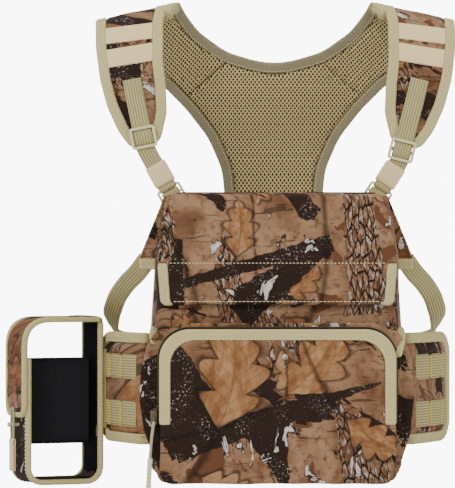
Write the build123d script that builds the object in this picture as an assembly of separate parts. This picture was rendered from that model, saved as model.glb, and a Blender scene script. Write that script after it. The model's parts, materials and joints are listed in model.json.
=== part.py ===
from build123d import *
import math
import os

# Binocular harness pack, in millimetres.
# X runs to the wearer's left, which is the right of a viewer in front of the pack.
# Y runs from the pack towards the wearer, and Z runs up.
# The origin is the middle of the pack's rear face, which lies on the wearer's chest.

# ---- driving dimensions -------------------------------------------------------------
PACK_BOTTOM = -135.5
PACK_TOP = 135.5
SHELL_TOP = 131.0
SHELL_REAR_HALF = 120.0
SHELL_FRONT_HALF = 112.0
SHELL_FRONT_Y = -76.0
PANEL_THICK = 8.0            # padded back panel
PANEL_TOP = 113.0
WALL = 4.0                   # padded fabric wall
FABRIC = 2.0                 # stiffened single fabric
WEB_THICK = 1.6              # flat webbing
SIDE_WEB = 19.0              # three-quarter-inch webbing
SHOULDER_WEB = 18.0
BINDING = 9.5                # folded edge tape, as seen from the face

LID_HINGE_Y = -10.0
LID_FRONT_Y = -81.5
LID_HEM = 27.7
LID_TAPE_TOP = 66.0
LID_TAPE = 8.0
MAGNET_X = 60.0
MAGNET_Z = 45.0
MAGNET_RADIUS = 9.0

POCKET_FRONT_Y = -112.0
POCKET_HALF = 110.0
POCKET_TOP = 5.0
POCKET_HINGE_Z = -88.0
GUSSET_FRONT_Y = -92.0
GUSSET_WALL = 3.5
FACING = 3.0                 # flat ring that the zipper is sewn to
PIPING_LOW = -83.0           # lower ends of the piping and of the zipper

SLIDER_X = -115.3
SLIDER_Y = -98.6
SLIDER_Z = -77.0

YOKE_SPLIT_Y = 60.0          # crest of the shoulder, where front pad meets back yoke
PAD_THICK = 8.0
SHOULDER_INNER = 74.0        # where the shoulder starts to slope
SHOULDER_SLOPE = 0.22
SHOULDER_SPAN = 110.0
TAPE_PROUD = 1.2             # how much thicker the folded tape is than the pad
BAND_THICK = 1.5

WING_TOP = -1.0
WING_BOTTOM = -108.0
WING_THICK = 8.0
WING_ROOT = (126.6, -4.0)
WING_MID = (149.5, 35.6)
WING_END = (168.0, 78.0)
MOLLE_ROWS = ((-46.0, -22.0), (-92.0, -67.0))
MOLLE_THICK = 1.8

POUCH_YAW = 21.0
POUCH_CORNER = (-241.8, 28.6, -150.0)
POUCH_WIDTH = 78.0
POUCH_DEPTH = 54.0
POUCH_HEIGHT = 163.0
POUCH_LEFT_TOP = 123.0       # top of the open left wall
POUCH_LID_GAP = 0.6
POUCH_FLAP_END = 68.0        # lower end of the lid's flap
BUNGEE = 2.2
BUNGEE_STAND_OFF = 2.3       # middle of the bungee loop, out from the lid's face
PEG_Y = 27.0
PEG_Z = 58.0
ELASTIC_LOW = 38.0           # lower edge of the wide elastic band


# ---- helpers ------------------------------------------------------------------------
def outline(points, radius):
    """Closed face with tangent arcs at its corners; radius is one value or one per point."""
    return make_face(FilletPolyline(*points, radius=radius, close=True))


def mirrored(points):
    """Right half of a symmetric outline, given top to bottom, closed with its left half."""
    left = [(-x, z) for x, z in reversed(points) if x != 0]
    return list(points) + left


def along_y(face, y_front, y_back):
    """Extrude an X-Z face from y_back forward to y_front."""
    return extrude(Plane.XZ.offset(-y_back) * face, amount=y_back - y_front)


def along_x(face, x_low, x_high):
    """Extrude a Y-Z face between two X positions."""
    return extrude(Plane.YZ.offset(x_low) * face, amount=x_high - x_low)


def along_z(face, z_low, z_high):
    """Extrude an X-Y face between two heights."""
    return extrude(Pos(0, 0, z_low) * face, amount=z_high - z_low)


def block(x, y, z):
    """Box from (low, high) pairs."""
    size = (x[1] - x[0], y[1] - y[0], z[1] - z[0])
    centre = ((x[0] + x[1]) / 2, (y[0] + y[1]) / 2, (z[0] + z[1]) / 2)
    return Pos(*centre) * Box(*size)


def thick_line(points, radius, thickness):
    """Face that follows a filleted line with an even thickness."""
    line = FilletPolyline(*points, radius=radius)
    return make_face(offset(line, amount=thickness / 2, side=Side.BOTH, closed=True))


def solids_of(shape):
    """All solids of a shape, without slivers."""
    return [solid for solid in shape.solids() if solid.volume > 0.5]


def save(name, *shapes):
    """Write one node as a STEP file holding every solid of its shapes."""
    solids = [solid for shape in shapes for solid in solids_of(shape)]
    export_step(Compound(children=solids), os.path.join("parts", name + ".step"))


def flip(shape):
    """Copy on the other side of the wearer."""
    return mirror(shape, about=Plane.YZ)


def on_side(shape, side):
    """A piece modelled on the right (+X), or its mirror on the left."""
    return shape if side == "right" else flip(shape)


def ribbon(stations, thickness):
    """Flat strap through (centre, width vector) stations."""
    centres = [Vector(*centre) for centre, _ in stations]
    sections = []
    for index, (_, width) in enumerate(stations):
        ahead = centres[min(index + 1, len(centres) - 1)]
        behind = centres[max(index - 1, 0)]
        across = Vector(*width)
        normal = (ahead - behind).cross(across).normalized() * (thickness / 2)
        half = across * 0.5
        here = centres[index]
        corners = (here - half - normal, here + half - normal, here + half + normal, here - half + normal)
        sections.append(make_face(Polyline(*corners, close=True)))
    return loft(sections, ruled=True)


SIDES = ("left", "right")


# ---- main compartment ---------------------------------------------------------------
def body_front_view(inset):
    """Front view of the compartment: narrower towards its top."""
    points = [
        (104 - inset, SHELL_TOP),
        (115.5 - inset, 70),
        (SHELL_REAR_HALF - inset, 0),
        (SHELL_REAR_HALF - inset, PACK_BOTTOM + inset),
    ]
    return outline(mirrored(points), [2, 30, 60, 10, 10, 60, 30, 2])


def body_plan(inset):
    """Plan of the compartment: wider at the wearer's side."""
    points = [
        (SHELL_REAR_HALF - inset, -PANEL_THICK - inset),
        (SHELL_FRONT_HALF - inset, SHELL_FRONT_Y + inset),
    ]
    return outline(mirrored(points), [1, 10, 10, 1])


def shell_block(inset):
    """Solid block of the compartment, drawn in by inset."""
    plan = along_z(body_plan(inset), PACK_BOTTOM + inset, SHELL_TOP)
    return plan & along_y(body_front_view(inset), SHELL_FRONT_Y, 0)


def make_body():
    outside = shell_block(0)
    cavity = shell_block(WALL) + block((-98, 98), (-70, -14), (100, SHELL_TOP + 5))
    save("main_shell", outside - cavity)

    panel_cut = block((-130, 130), (-PANEL_THICK, 0), (PACK_BOTTOM, PANEL_TOP))
    panel = along_y(body_front_view(0), -PANEL_THICK, 0) & panel_cut
    save("back_panel", panel)

    save("rear_top_binding", block((-103, 103), (-PANEL_THICK, -4), (PANEL_TOP + 0.2, SHELL_TOP)))

    floor = PACK_BOTTOM + WALL
    save("base_stiffener", block((-102, 102), (-69, -15), (floor, floor + FABRIC)))

    magnets = []
    for x in (-MAGNET_X, MAGNET_X):
        seat = Pos(x, SHELL_FRONT_Y + WALL, MAGNET_Z) * Rot(90, 0, 0)
        magnets.append(seat * Cylinder(MAGNET_RADIUS, 2, align=(Align.CENTER, Align.CENTER, Align.MAX)))
    save("shell_magnets", *magnets)
    return outside


# ---- lid ----------------------------------------------------------------------------
def lid_front_view(inset):
    points = [
        (98 - inset, PACK_TOP),
        (105 - inset, 115),
        (112 - inset, LID_TAPE_TOP),
        (109 - inset, LID_HEM),
    ]
    return outline(mirrored(points), [8, 20, 30, 6, 6, 30, 20, 8])


def make_lid():
    middle_z = PACK_TOP - WALL / 2
    middle_y = LID_FRONT_Y + WALL / 2
    run = [(LID_HINGE_Y, middle_z), (middle_y, middle_z), (middle_y, LID_HEM)]
    barrel = Pos(0, LID_HINGE_Y, middle_z) * Rot(0, 90, 0) * Cylinder(WALL / 2, 190)
    cover = along_x(thick_line(run, 4, WALL), -115, 115) + barrel
    cover = cover & along_y(lid_front_view(0), LID_FRONT_Y - 5, 0)
    tape_ring = lid_front_view(0) - lid_front_view(LID_TAPE)
    tape_zone = along_y(tape_ring, LID_FRONT_Y - 1, LID_FRONT_Y + WALL + 1)
    tape_zone = tape_zone & block((-120, 120), (-90, -70), (LID_HEM, LID_TAPE_TOP))
    panel = cover - tape_zone
    magnets = []
    for x in (-MAGNET_X, MAGNET_X):
        magnet = Pos(x, middle_y, MAGNET_Z) * Rot(90, 0, 0) * Cylinder(MAGNET_RADIUS, 1.6)
        panel = panel - magnet
        magnets.append(magnet)
    save("lid_panel", panel)
    save("lid_binding", cover & tape_zone)
    save("lid_magnets", *magnets)


# ---- front pocket -------------------------------------------------------------------
def gusset_front_view(inset):
    points = [
        (112 - inset, 4 - inset),
        (123 - inset, -10),
        (128.5 - inset, -30),
        (128.5 - inset, -60),
        (125 - inset, -90),
        (118 - inset, -114),
        (110 - inset, PACK_BOTTOM + inset),
    ]
    radii = [14, 20, 20, 30, 30, 20, 8]
    return outline(mirrored(points), radii + radii[::-1])


def door_front_view(inset):
    half = POCKET_HALF - inset
    points = [(half, POCKET_TOP - inset), (half, POCKET_HINGE_Z)]
    return outline(mirrored(points), [28 - inset / 2, 1, 1, 28 - inset / 2])


def pocket_front_view(inset):
    half = POCKET_HALF - inset
    points = [(half, POCKET_TOP - inset), (half, PACK_BOTTOM + inset)]
    return outline(mirrored(points), [28 - inset / 2, 12, 12, 28 - inset / 2])


def make_pocket():
    front = GUSSET_FRONT_Y
    back_of_facing = front + FACING
    mouth = along_y(pocket_front_view(3), front - 1, back_of_facing + 1)
    wall = gusset_front_view(0) - gusset_front_view(GUSSET_WALL)
    save("pocket_gusset", along_y(wall, back_of_facing, SHELL_FRONT_Y))
    save("pocket_facing", along_y(gusset_front_view(0), front, back_of_facing) - mouth)

    below = block((-130, 130), (POCKET_FRONT_Y, front), (PACK_BOTTOM, POCKET_HINGE_Z - 0.5))
    hollow = along_y(pocket_front_view(WALL), POCKET_FRONT_Y + 5, front)
    tray = along_y(pocket_front_view(0), POCKET_FRONT_Y, front) - hollow
    save("pocket_lower_front", tray & below)

    above = block((-130, 130), (-120, -80), (POCKET_HINGE_Z, 20))
    taped = block((-130, 130), (-120, -80), (PIPING_LOW, 20))
    rim = door_front_view(0) - door_front_view(BINDING)
    piping = along_y(rim, POCKET_FRONT_Y, POCKET_FRONT_Y + 7) & taped
    panel = along_y(door_front_view(0), POCKET_FRONT_Y + 1, POCKET_FRONT_Y + 6) - piping
    save("pocket_front", panel)
    save("pocket_piping", piping)

    door_rim = door_front_view(1) - door_front_view(3)
    door_tape = along_y(door_rim, POCKET_FRONT_Y + 7, GUSSET_FRONT_Y - 5)
    save("zipper_tape_door", door_tape & above)

    gusset_rim = pocket_front_view(-6) - pocket_front_view(-0.5)
    gusset_tape = along_y(gusset_rim, GUSSET_FRONT_Y - 2.2, GUSSET_FRONT_Y)
    save("zipper_tape_gusset", gusset_tape & taped)


def make_zipper():
    slider = Pos(SLIDER_X, SLIDER_Y, SLIDER_Z) * Box(7, 7.4, 13)
    slider = fillet(slider.edges().filter_by(Axis.Z), 1.6)
    bail = Pos(SLIDER_X, SLIDER_Y - 5.2, SLIDER_Z - 2) * Rot(0, 90, 0) * Torus(3.2, 0.9)
    save("zip_slider", slider + bail)


# ---- route of the zip pull's cord ---------------------------------------------------
PULL_ROUTE = [(-115.3, -109.6, -80.5), (-118.0, -110.2, -96.5), (-119.0, -109.4, -114.5)]
PULL_DIAMETER = 2.8
GRIP_DIAMETER = 4.3
GRIP_LENGTH = 31.0


def make_zip_pull():
    a, b, c = (Vector(*point) for point in PULL_ROUTE)
    turn = math.radians((b - a).get_angle(c - b))
    bend = 0.45 * min((b - a).length, (c - b).length) / math.tan(turn / 2)
    line = FilletPolyline(a, b, c, radius=bend)
    start = Plane(origin=a, z_dir=(b - a))
    save("zip_pull_cord", sweep(start * Circle(PULL_DIAMETER / 2), path=line))

    hang = (c - b).normalized()
    grip_plane = Plane(origin=c, z_dir=hang)
    grip = extrude(grip_plane * Circle(GRIP_DIAMETER / 2), amount=GRIP_LENGTH)
    save("zip_pull_grip", fillet(grip.edges(), 1.0))


# ---- shoulder pads and yoke ---------------------------------------------------------
PROFILE = [(7, 160), (15, 275), (42, 323), (80, 323), (122, 268), (160, 185), (170, 105), (170, -40)]
PROFILE_RADII = [80, 30, 35, 150, 150, 150]


def drape(thickness):
    """The worn curve of the pads, extruded across both shoulders."""
    face = Plane.YZ * thick_line(PROFILE, PROFILE_RADII, thickness)
    face = face.faces()[0]
    middle = Solid.extrude(face.moved(Location((-SHOULDER_INNER, 0, 0))), Vector(2 * SHOULDER_INNER, 0, 0))
    slope = Vector(SHOULDER_SPAN, 0, -SHOULDER_SPAN * SHOULDER_SLOPE)
    right = Solid.extrude(face.moved(Location((SHOULDER_INNER, 0, 0))), slope)
    return middle, right, flip(right)


def shoulder_outline(inset):
    points = [
        (101, 350),
        (110.5, 300),
        (110, 262),
        (107, 236),
        (106, 212),
        (112, 186),
        (124, 178),
        (140, 178),
        (152, 194),
        (163, 218),
        (170, 244),
        (174.5, 276),
        (177, 350),
    ]
    radii = [1, 40, 60, 60, 30, 12, 10, 12, 40, 60, 60, 60, 1]
    face = outline(points, radii)
    return offset(face, -inset) if inset else face


def yoke_outline(inset):
    points = [
        (0, 263),
        (48, 276.5),
        (76, 296),
        (93, 318),
        (104, 352),
        (177, 352),
        (176, 285),
        (146, 262),
        (112, 245),
        (88, 221),
        (66, 193),
        (52, 161),
        (48, 120),
        (43, 50),
        (40, -25),
    ]
    radii = [90, 60, 50, 60, 1, 1, 30, 60, 40, 90, 70, 60, 120, 200, 10]
    face = outline(mirrored(points), radii + radii[:0:-1])
    return offset(face, -inset) if inset else face


def cut_front(pieces, face):
    """Part of the worn curve in front of the crest, inside an X-Z outline on the right side."""
    return pieces[1] & along_y(face, -20, YOKE_SPLIT_Y)


def cut_back(pieces, face):
    """Part of the worn curve behind the crest, inside an X-Z outline."""
    prism = along_y(face, YOKE_SPLIT_Y, 190)
    middle = pieces[0] & prism
    return middle + (pieces[1] & prism) + (pieces[2] & prism)


def make_pads():
    pad = drape(PAD_THICK)
    tape = drape(PAD_THICK + TAPE_PROUD)
    over = drape(PAD_THICK + 2 * BAND_THICK + 0.01)

    inner = shoulder_outline(BINDING)
    ring = shoulder_outline(0) - inner
    front_pad = cut_front(pad, inner)
    front_tape = cut_front(tape, ring)

    bands = []
    for outer_z, inner_z, height in ((292, 304, 15.5), (269, 285, 17.5)):
        upper = [(90, inner_z), (190, outer_z)]
        lower = [(190, outer_z - height), (90, inner_z - height)]
        face = make_face(Polyline(*upper, *lower, close=True)) & inner
        layer = cut_front(over, face) - pad[1]
        bands.append(min(layer.solids(), key=lambda solid: solid.center().Y))

    for side in SIDES:
        save("shoulder_pad_" + side, on_side(front_pad, side))
        save("shoulder_binding_" + side, on_side(front_tape, side))
        save("shoulder_bands_" + side, *[on_side(band, side) for band in bands])

    yoke_inner = yoke_outline(BINDING)
    save("yoke_pad", cut_back(pad, yoke_inner))
    save("yoke_binding", cut_back(tape, yoke_outline(0) - yoke_inner))


# ---- shoulder webbing, buckles ------------------------------------------------------
WEB_START = (139.5, 7.0, 243.0)
BENDS = {"left": (126.0, 0.6, 178.0), "right": (119.0, 0.2, 165.5)}
LOCK = {"left": (100.5, 0.2, 132.5), "right": (98.0, 0.0, 132.5)}
LOCK_WIDTH = 25.0
LOCK_HEIGHT = 18.0
LOCK_BAR = 2.6
GLIDE_RISE = 10.0            # slide adjuster above the bend of the strap
KEEPER_RISE = 22.8           # middle of the sleeve above the ladder lock
KEEPER_LENGTH = 22.0
GLIDE_SLOT = 19.6            # clear width of a slide adjuster, and of a side strap's ring


def across(start, end, width):
    """Width vector of a strap that runs from start to end and faces forward."""
    run = Vector(*end) - Vector(*start)
    return Vector(run.Z, 0, -run.X).normalized() * -width


def lean(start, end):
    """Frame whose Z follows a strap, whose X lies across it and whose Y points back."""
    run = (Vector(*end) - Vector(*start)).normalized()
    cross_dir = Vector(run.Z, 0, -run.X).normalized()
    return Plane(origin=start, x_dir=cross_dir, z_dir=run)


def up_strap(start, end, distance):
    """Point on a strap at a distance from its start."""
    run = (Vector(*end) - Vector(*start)).normalized()
    return tuple(Vector(*start) + run * distance)


def rounded_slab(width, height, depth, radius):
    """Plate in the local X-Z plane, centred, with rounded corners."""
    right, top = width / 2, height / 2
    face = outline([(-right, -top), (right, -top), (right, top), (-right, top)], radius)
    return extrude(Plane.XZ * face, amount=depth / 2, both=True)


def lock_buckle():
    """Ladder lock: a rounded frame with three bars, local Z up the strap."""
    frame_piece = rounded_slab(LOCK_WIDTH, LOCK_HEIGHT, 3.4, 3)
    slot = LOCK_WIDTH - 2 * LOCK_BAR
    for z in (-3.9, 3.9):
        frame_piece -= Pos(0, 0, z) * Box(slot, 10, 5.8)
    return frame_piece


def bar_loop(width, gap, leg, up):
    """Webbing folded round a buckle's end bar, its two legs sewn into one."""
    bar_half = gap + 1.7
    far = bar_half + WEB_THICK
    knee = -4.8
    outer = outline([(-far, 0.0), (-far, knee), (-0.8, -leg), (0.8, -leg), (far, knee), (far, 0.0)], 0.3)
    hole = [(-bar_half, -WEB_THICK), (-bar_half, knee), (bar_half, knee), (bar_half, -WEB_THICK)]
    shape = along_x(outer - make_face(Polyline(*hole, close=True)), -width / 2, width / 2)
    return shape if not up else mirror(shape, about=Plane.XY)


def make_webbing():
    locks = []
    anchors = []
    for side in SIDES:
        start = WEB_START
        bend = BENDS[side]
        lock = LOCK[side]
        wrap_top = up_strap(lock, bend, 11.0)
        web = ribbon(
            [
                (start, across(start, bend, SHOULDER_WEB)),
                (bend, across(start, lock, SHOULDER_WEB)),
                (wrap_top, across(bend, lock, SHOULDER_WEB)),
            ],
            WEB_THICK,
        )
        place = lean(lock, bend)
        buckle = place.location * lock_buckle()
        upper_wrap = place.location * Pos(0, 0, 5.0) * bar_loop(SHOULDER_WEB, 0.3, 6.2, True)
        lower_wrap = place.location * Pos(0, 0, -5.0) * bar_loop(SHOULDER_WEB, 0.3, 10, False)
        save("shoulder_webbing_" + side, on_side(web, side), on_side(upper_wrap - web, side))
        locks.append(on_side(buckle, side))
        anchors.append(on_side(lower_wrap, side))
    return locks, anchors


def tri_glide():
    """Slide adjuster: its end bars lie in front of the strap, its middle bar behind it."""
    glide = rounded_slab(25, 21, 2.2, 3)
    glide = Pos(0, -2.2, 0) * (glide - Box(GLIDE_SLOT, 10, 16))
    for x in (-11.2, 11.2):
        glide += Pos(x, 0.2, 0) * Box(2.6, 3.4, 4)
    glide += Pos(0, 1.5, 0) * Box(25, 1.0, 4)
    return glide


def keeper():
    """Short elastic sleeve round the doubled strap."""
    sleeve = Box(22, 4.4, KEEPER_LENGTH) - Box(19, 2.6, 30)
    return fillet(sleeve.edges().filter_by(Axis.Z), 0.5)


def make_sliders():
    for side in SIDES:
        bend = BENDS[side]
        lock = LOCK[side]
        glide_place = lean(up_strap(bend, WEB_START, GLIDE_RISE), WEB_START)
        save("tri_glide_" + side, on_side(glide_place.location * tri_glide(), side))
        keeper_place = lean(up_strap(lock, bend, KEEPER_RISE), bend)
        save("keeper_" + side, on_side(keeper_place.location * keeper(), side))


# ---- side tabs and side straps ------------------------------------------------------
SIDE_ROUTE = [
    ((124.3, -6.8, 70.0), (14.0, 0, 12.0)),
    ((134.3, 8.0, 57.1), (14.2, 0, 12.5)),
    ((143.8, 30.0, 47.9), (13.9, 0, 12.9)),
    ((151.2, 50.0, 38.9), (15.3, 0, 11.2)),
    ((156.1, 65.0, 31.1), (16.9, 0, 8.6)),
    ((159.7, 78.0, 22.1), (17.4, 1.0, 7.4)),
    ((161.9, 88.0, 15.2), (16.4, 2.4, 9.2)),
    ((162.0, 100.0, 6.0), (13.6, 4.4, 12.4)),
    ((159.0, 116.0, -4.0), (8.4, 6.0, 16.0)),
    ((149.0, 138.0, -12.0), (3.2, 5.6, 17.9)),
    ((130.0, 157.0, -16.0), (0, 3.0, 18.6)),
    ((102.0, 169.0, -18.0), (0, 1.2, 19.0)),
    ((62.0, 174.6, -19.0), (0, 0, 19.0)),
]
TAB_BACK_Y = -7.8
TAB_FRONT_Y = -11.0
TAB_POINTS = [(107.5, 131), (131.5, 72), (131, 61), (112, 61), (104, 131)]
TAB_BAND = (60.0, 71.0)      # height of the tape across the tab's lower end
ANCHOR_X = 57.3              # strap adjusters behind the wearer
ANCHOR_Y = 174.6
ANCHOR_Z = -19.0


def make_side_straps(shell):
    tab_bands = []
    for side in SIDES:
        save("side_strap_" + side, on_side(ribbon(SIDE_ROUTE, WEB_THICK), side))
        tab = along_y(outline(TAB_POINTS, 1), TAB_FRONT_Y, TAB_BACK_Y) - shell
        tab -= block((90, 140), (-8, 0), (50, 140))
        band_zone = block((90, 140), (-30, 0), TAB_BAND)
        save("side_tab_" + side, on_side(tab - band_zone, side))
        tab_bands.append(on_side(tab & band_zone, side))
    save("side_tab_bands", *tab_bands)


def make_yoke_anchor():
    adjusters = []
    for side in SIDES:
        ring = rounded_slab(9, 25, 3.4, 2.5) - Box(3.6, 10, GLIDE_SLOT)
        adjusters.append(on_side(Pos(ANCHOR_X, ANCHOR_Y, ANCHOR_Z) * ring, side))
    save("strap_adjusters", *adjusters)
    end = ANCHOR_X - 4.7
    front = ANCHOR_Y + 0.1
    height = (ANCHOR_Z - SIDE_WEB / 2, ANCHOR_Z + SIDE_WEB / 2)
    save("yoke_base_webbing", block((-end, end), (front, front + WEB_THICK), height))


# ---- waist wings --------------------------------------------------------------------
def wing_centre():
    """Centre and radius of the arc that the right wing follows in plan."""
    arc = ThreePointArc(WING_ROOT, WING_MID, WING_END)
    centre = arc.arc_center
    return centre, arc.radius


def wing_layer(low, high, z_low, z_high, y_low=-30, y_high=200):
    """Layer of the right wing between two offsets outward from its middle surface."""
    centre, radius = wing_centre()
    ring = Circle(radius + high) - Circle(radius + low)
    window = Pos(150, (y_low + y_high) / 2) * Rectangle(120, y_high - y_low)
    face = (Pos(centre.X, centre.Y) * ring) & window
    return along_z(face, z_low, z_high)


def wing_side_view(inset):
    top = WING_TOP - inset
    bottom = WING_BOTTOM + inset
    far = WING_END[1] - inset
    radius = 24 - inset
    return outline([(-20, top), (far, top), (far, bottom), (-20, bottom)], [1, radius, radius, 1])


def wing_root_barrel(radius):
    return Pos(*WING_ROOT) * Cylinder(radius, 200)


def make_wing(side):
    half = WING_THICK / 2
    thick = half + 0.8
    root_y = WING_ROOT[1]
    height = (WING_BOTTOM, WING_TOP)
    inner_view = along_x(wing_side_view(BINDING), 60, 240)
    full_view = along_x(wing_side_view(0), 60, 240)

    root = block((60, 240), (-20, 20), height)
    body = wing_layer(-half, half, *height, y_low=root_y) + (wing_root_barrel(half) & root)
    rim = wing_layer(-thick, thick, *height, y_low=root_y) + (wing_root_barrel(thick) & root)
    pad = body & inner_view
    binding = (rim & full_view) - inner_view
    save("wing_pad_" + side, on_side(pad, side))
    save("wing_binding_" + side, on_side(binding, side))

    row_end = WING_END[1] - BINDING - 4
    rows = [wing_layer(half, half + MOLLE_THICK, *row, 4, row_end) for row in MOLLE_ROWS]
    save("molle_rows_" + side, *[on_side(row, side) for row in rows])
    return on_side(body + rim, side), [on_side(row, side) for row in rows]


def make_wing_end_tab():
    save("wing_end_tab", block((168.5, 170.5), (WING_END[1] + 0.02, WING_END[1] + 12), (-70, -37)))


# ---- rangefinder pouch --------------------------------------------------------------
def place_pouch(shape):
    return Pos(*POUCH_CORNER) * Rot(0, 0, POUCH_YAW) * shape


def pouch_view(inset):
    points = [(inset, inset), (POUCH_WIDTH - inset, inset), (POUCH_WIDTH - inset, 200), (inset, 200)]
    radius = 16 - inset
    return outline(points, [radius, radius, 1, 1])


def pouch_lid_view(inset):
    left = -WALL - POUCH_LID_GAP + inset
    top = POUCH_HEIGHT - inset
    radius = 28 - inset
    points = [(left, -20), (left, top), (POUCH_WIDTH + 40, top), (POUCH_WIDTH + 40, -20)]
    return outline(points, [1, radius, 1, 1])


def make_pouch(blockers):
    depth = (0.0, POUCH_DEPTH)
    wall_top = POUCH_HEIGHT - WALL - POUCH_LID_GAP
    ring = along_y(pouch_view(0), *depth) - along_y(pouch_view(WALL), -1, POUCH_DEPTH + 1)
    left_cut = block((-5, 40), (-2, 80), (POUCH_LEFT_TOP, 210))
    right_cut = block((40, 100), (-2, 80), (wall_top, 210))
    ring = ring - left_cut - right_cut
    front_tape = block((-10, 100), (-1, 5), (-10, 210))
    tape = front_tape + block((-10, 100), (POUCH_DEPTH - 5, POUCH_DEPTH + 1), (-10, 210))
    save("pouch_shell", place_pouch(ring - tape))
    save("pouch_shell_binding", place_pouch(ring & tape))

    band = block((WALL, POUCH_WIDTH - WALL), (30, 31.6), (ELASTIC_LOW, POUCH_LEFT_TOP))
    save("pouch_elastic_band", place_pouch(band))

    rise = (Align.CENTER, Align.CENTER, Align.MIN)
    peg = Pos(0, PEG_Y, PEG_Z) * Rot(0, -90, 0) * Cylinder(1.7, 9.5, align=rise)
    button = Pos(-9.5, PEG_Y, PEG_Z) * Rot(0, -90, 0) * Cylinder(2.4, 2, align=rise)
    save("pouch_hook", place_pouch(peg + button))

    strap = place_pouch(block((POUCH_WIDTH, POUCH_WIDTH + 14), (2, 20), (54, 132)))
    for blocker in blockers:
        strap = strap - blocker
    strap = max(strap.solids(), key=lambda solid: -solid.center().X)
    save("pouch_mount_strap", strap)

    lid_ring = along_y(pouch_lid_view(0), *depth) - along_y(pouch_lid_view(WALL), -1, POUCH_DEPTH + 1)
    hinge_x = POUCH_WIDTH - WALL / 2
    hinge_z = POUCH_HEIGHT - WALL / 2
    keep = block((-20, hinge_x), (-2, 80), (POUCH_FLAP_END, 220))
    barrel = Pos(hinge_x, POUCH_DEPTH / 2, hinge_z) * Rot(90, 0, 0) * Cylinder(WALL / 2, POUCH_DEPTH)
    lid = (lid_ring & keep) + barrel
    flap_corners = [(0, POUCH_FLAP_END), (POUCH_DEPTH, POUCH_FLAP_END), (POUCH_DEPTH, 240), (0, 240)]
    lid = lid & along_x(outline(flap_corners, [24, 24, 1, 1]), -20, 120)
    save("pouch_lid", place_pouch(lid))

    loop_x = -WALL - POUCH_LID_GAP - BUNGEE_STAND_OFF
    centre = [(22.8, 42), (31.2, 42), (31.2, 74), (22.8, 74)]
    loop_face = Plane.YZ.offset(loop_x) * outline(centre, 4)
    start = loop_face.faces()[0].outer_wire()
    tube = sweep(Plane(origin=start @ 0, z_dir=start % 0) * Circle(BUNGEE / 2), path=start)
    save("pouch_bungee_loop", place_pouch(tube))
    tab = block((loop_x - 1.4, loop_x + 1.4), (20, 34), (12, 40.2))
    tab = fillet(tab.edges().filter_by(Axis.X), 2)
    save("pouch_pull_tab", place_pouch(tab - tube))


if __name__ == "__main__":
    os.makedirs("parts", exist_ok=True)
    shell = make_body()
    make_lid()
    make_pocket()
    make_zipper()
    make_zip_pull()
    make_pads()
    locks, anchors = make_webbing()
    save("ladder_locks", *locks)
    save("anchor_loops", *anchors)
    make_sliders()
    make_side_straps(shell)
    make_yoke_anchor()
    make_wing("right")
    make_wing_end_tab()
    left_wing, left_rows = make_wing("left")
    make_pouch([left_wing, *left_rows])
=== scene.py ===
import json
import math

import bmesh
import bpy
import numpy as np
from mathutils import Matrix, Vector, noise
from mathutils.bvhtree import BVHTree


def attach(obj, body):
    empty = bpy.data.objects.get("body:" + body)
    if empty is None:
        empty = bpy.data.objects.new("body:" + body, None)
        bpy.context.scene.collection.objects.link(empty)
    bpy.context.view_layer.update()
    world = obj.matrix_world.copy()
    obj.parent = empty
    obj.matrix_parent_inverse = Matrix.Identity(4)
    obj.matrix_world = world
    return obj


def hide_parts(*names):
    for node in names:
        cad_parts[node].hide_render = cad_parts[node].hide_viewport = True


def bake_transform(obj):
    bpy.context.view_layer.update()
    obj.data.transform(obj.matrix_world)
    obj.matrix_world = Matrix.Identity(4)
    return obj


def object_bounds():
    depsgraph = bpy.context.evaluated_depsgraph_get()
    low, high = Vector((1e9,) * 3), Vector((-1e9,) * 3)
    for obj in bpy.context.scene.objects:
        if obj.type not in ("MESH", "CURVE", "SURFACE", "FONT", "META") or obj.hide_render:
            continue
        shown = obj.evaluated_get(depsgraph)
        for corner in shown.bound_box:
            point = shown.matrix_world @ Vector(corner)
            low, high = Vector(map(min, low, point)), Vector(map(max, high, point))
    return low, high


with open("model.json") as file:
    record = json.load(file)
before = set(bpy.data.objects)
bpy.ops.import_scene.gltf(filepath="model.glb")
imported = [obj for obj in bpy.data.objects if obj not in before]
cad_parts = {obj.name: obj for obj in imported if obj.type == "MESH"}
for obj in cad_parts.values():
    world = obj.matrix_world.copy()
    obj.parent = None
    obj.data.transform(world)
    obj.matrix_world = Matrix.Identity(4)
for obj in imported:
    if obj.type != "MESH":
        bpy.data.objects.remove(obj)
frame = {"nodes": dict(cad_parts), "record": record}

CAD_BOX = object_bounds()
MM = 0.001
NODES = frame["nodes"]
RECORD = frame["record"]
BODY_OF = {node: body for body, nodes in RECORD["behaviour"]["bodies"].items() for node in nodes}
SIDES = (("left", -1), ("right", 1))


# ---- camera, light, floor -----------------------------------------------------------
CAMERA_AT = (-46.8, -3114.0, 85.0)     # mm; level, looking along +Y
SENSOR_WIDE = 36.0
IMAGE_LONG = 488
FOCAL_PIXELS = 3226.0
FLOOR_DROP = 12.0                      # mm below the lowest point
FLOOR_HALF = 14.0                      # m
PAPER_GLOW = 9.0                       # how bright the floor and the backdrop look
SKY_STRENGTH = 0.8
# name, place and aim in m, size in m, power in W
LIGHTS = (
    ("key", (-1.6, -2.6, 2.3), (0, 0, 0.05), 1.4, 70),
    ("fill", (2.2, -2.4, 0.8), (0, 0, 0.05), 2.0, 22),
    ("top", (0, 0.4, 2.8), (0, 0, 0.1), 1.6, 26),
)


def make_camera():
    data = bpy.data.cameras.new("camera")
    data.sensor_width = SENSOR_WIDE
    data.lens = FOCAL_PIXELS * SENSOR_WIDE / IMAGE_LONG
    data.clip_start, data.clip_end = 0.1, 50
    camera = bpy.data.objects.new("camera", data)
    camera.location = Vector(CAMERA_AT) * MM
    camera.rotation_euler = (math.radians(90), 0, 0)
    bpy.context.scene.collection.objects.link(camera)
    bpy.context.scene.camera = camera


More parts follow.
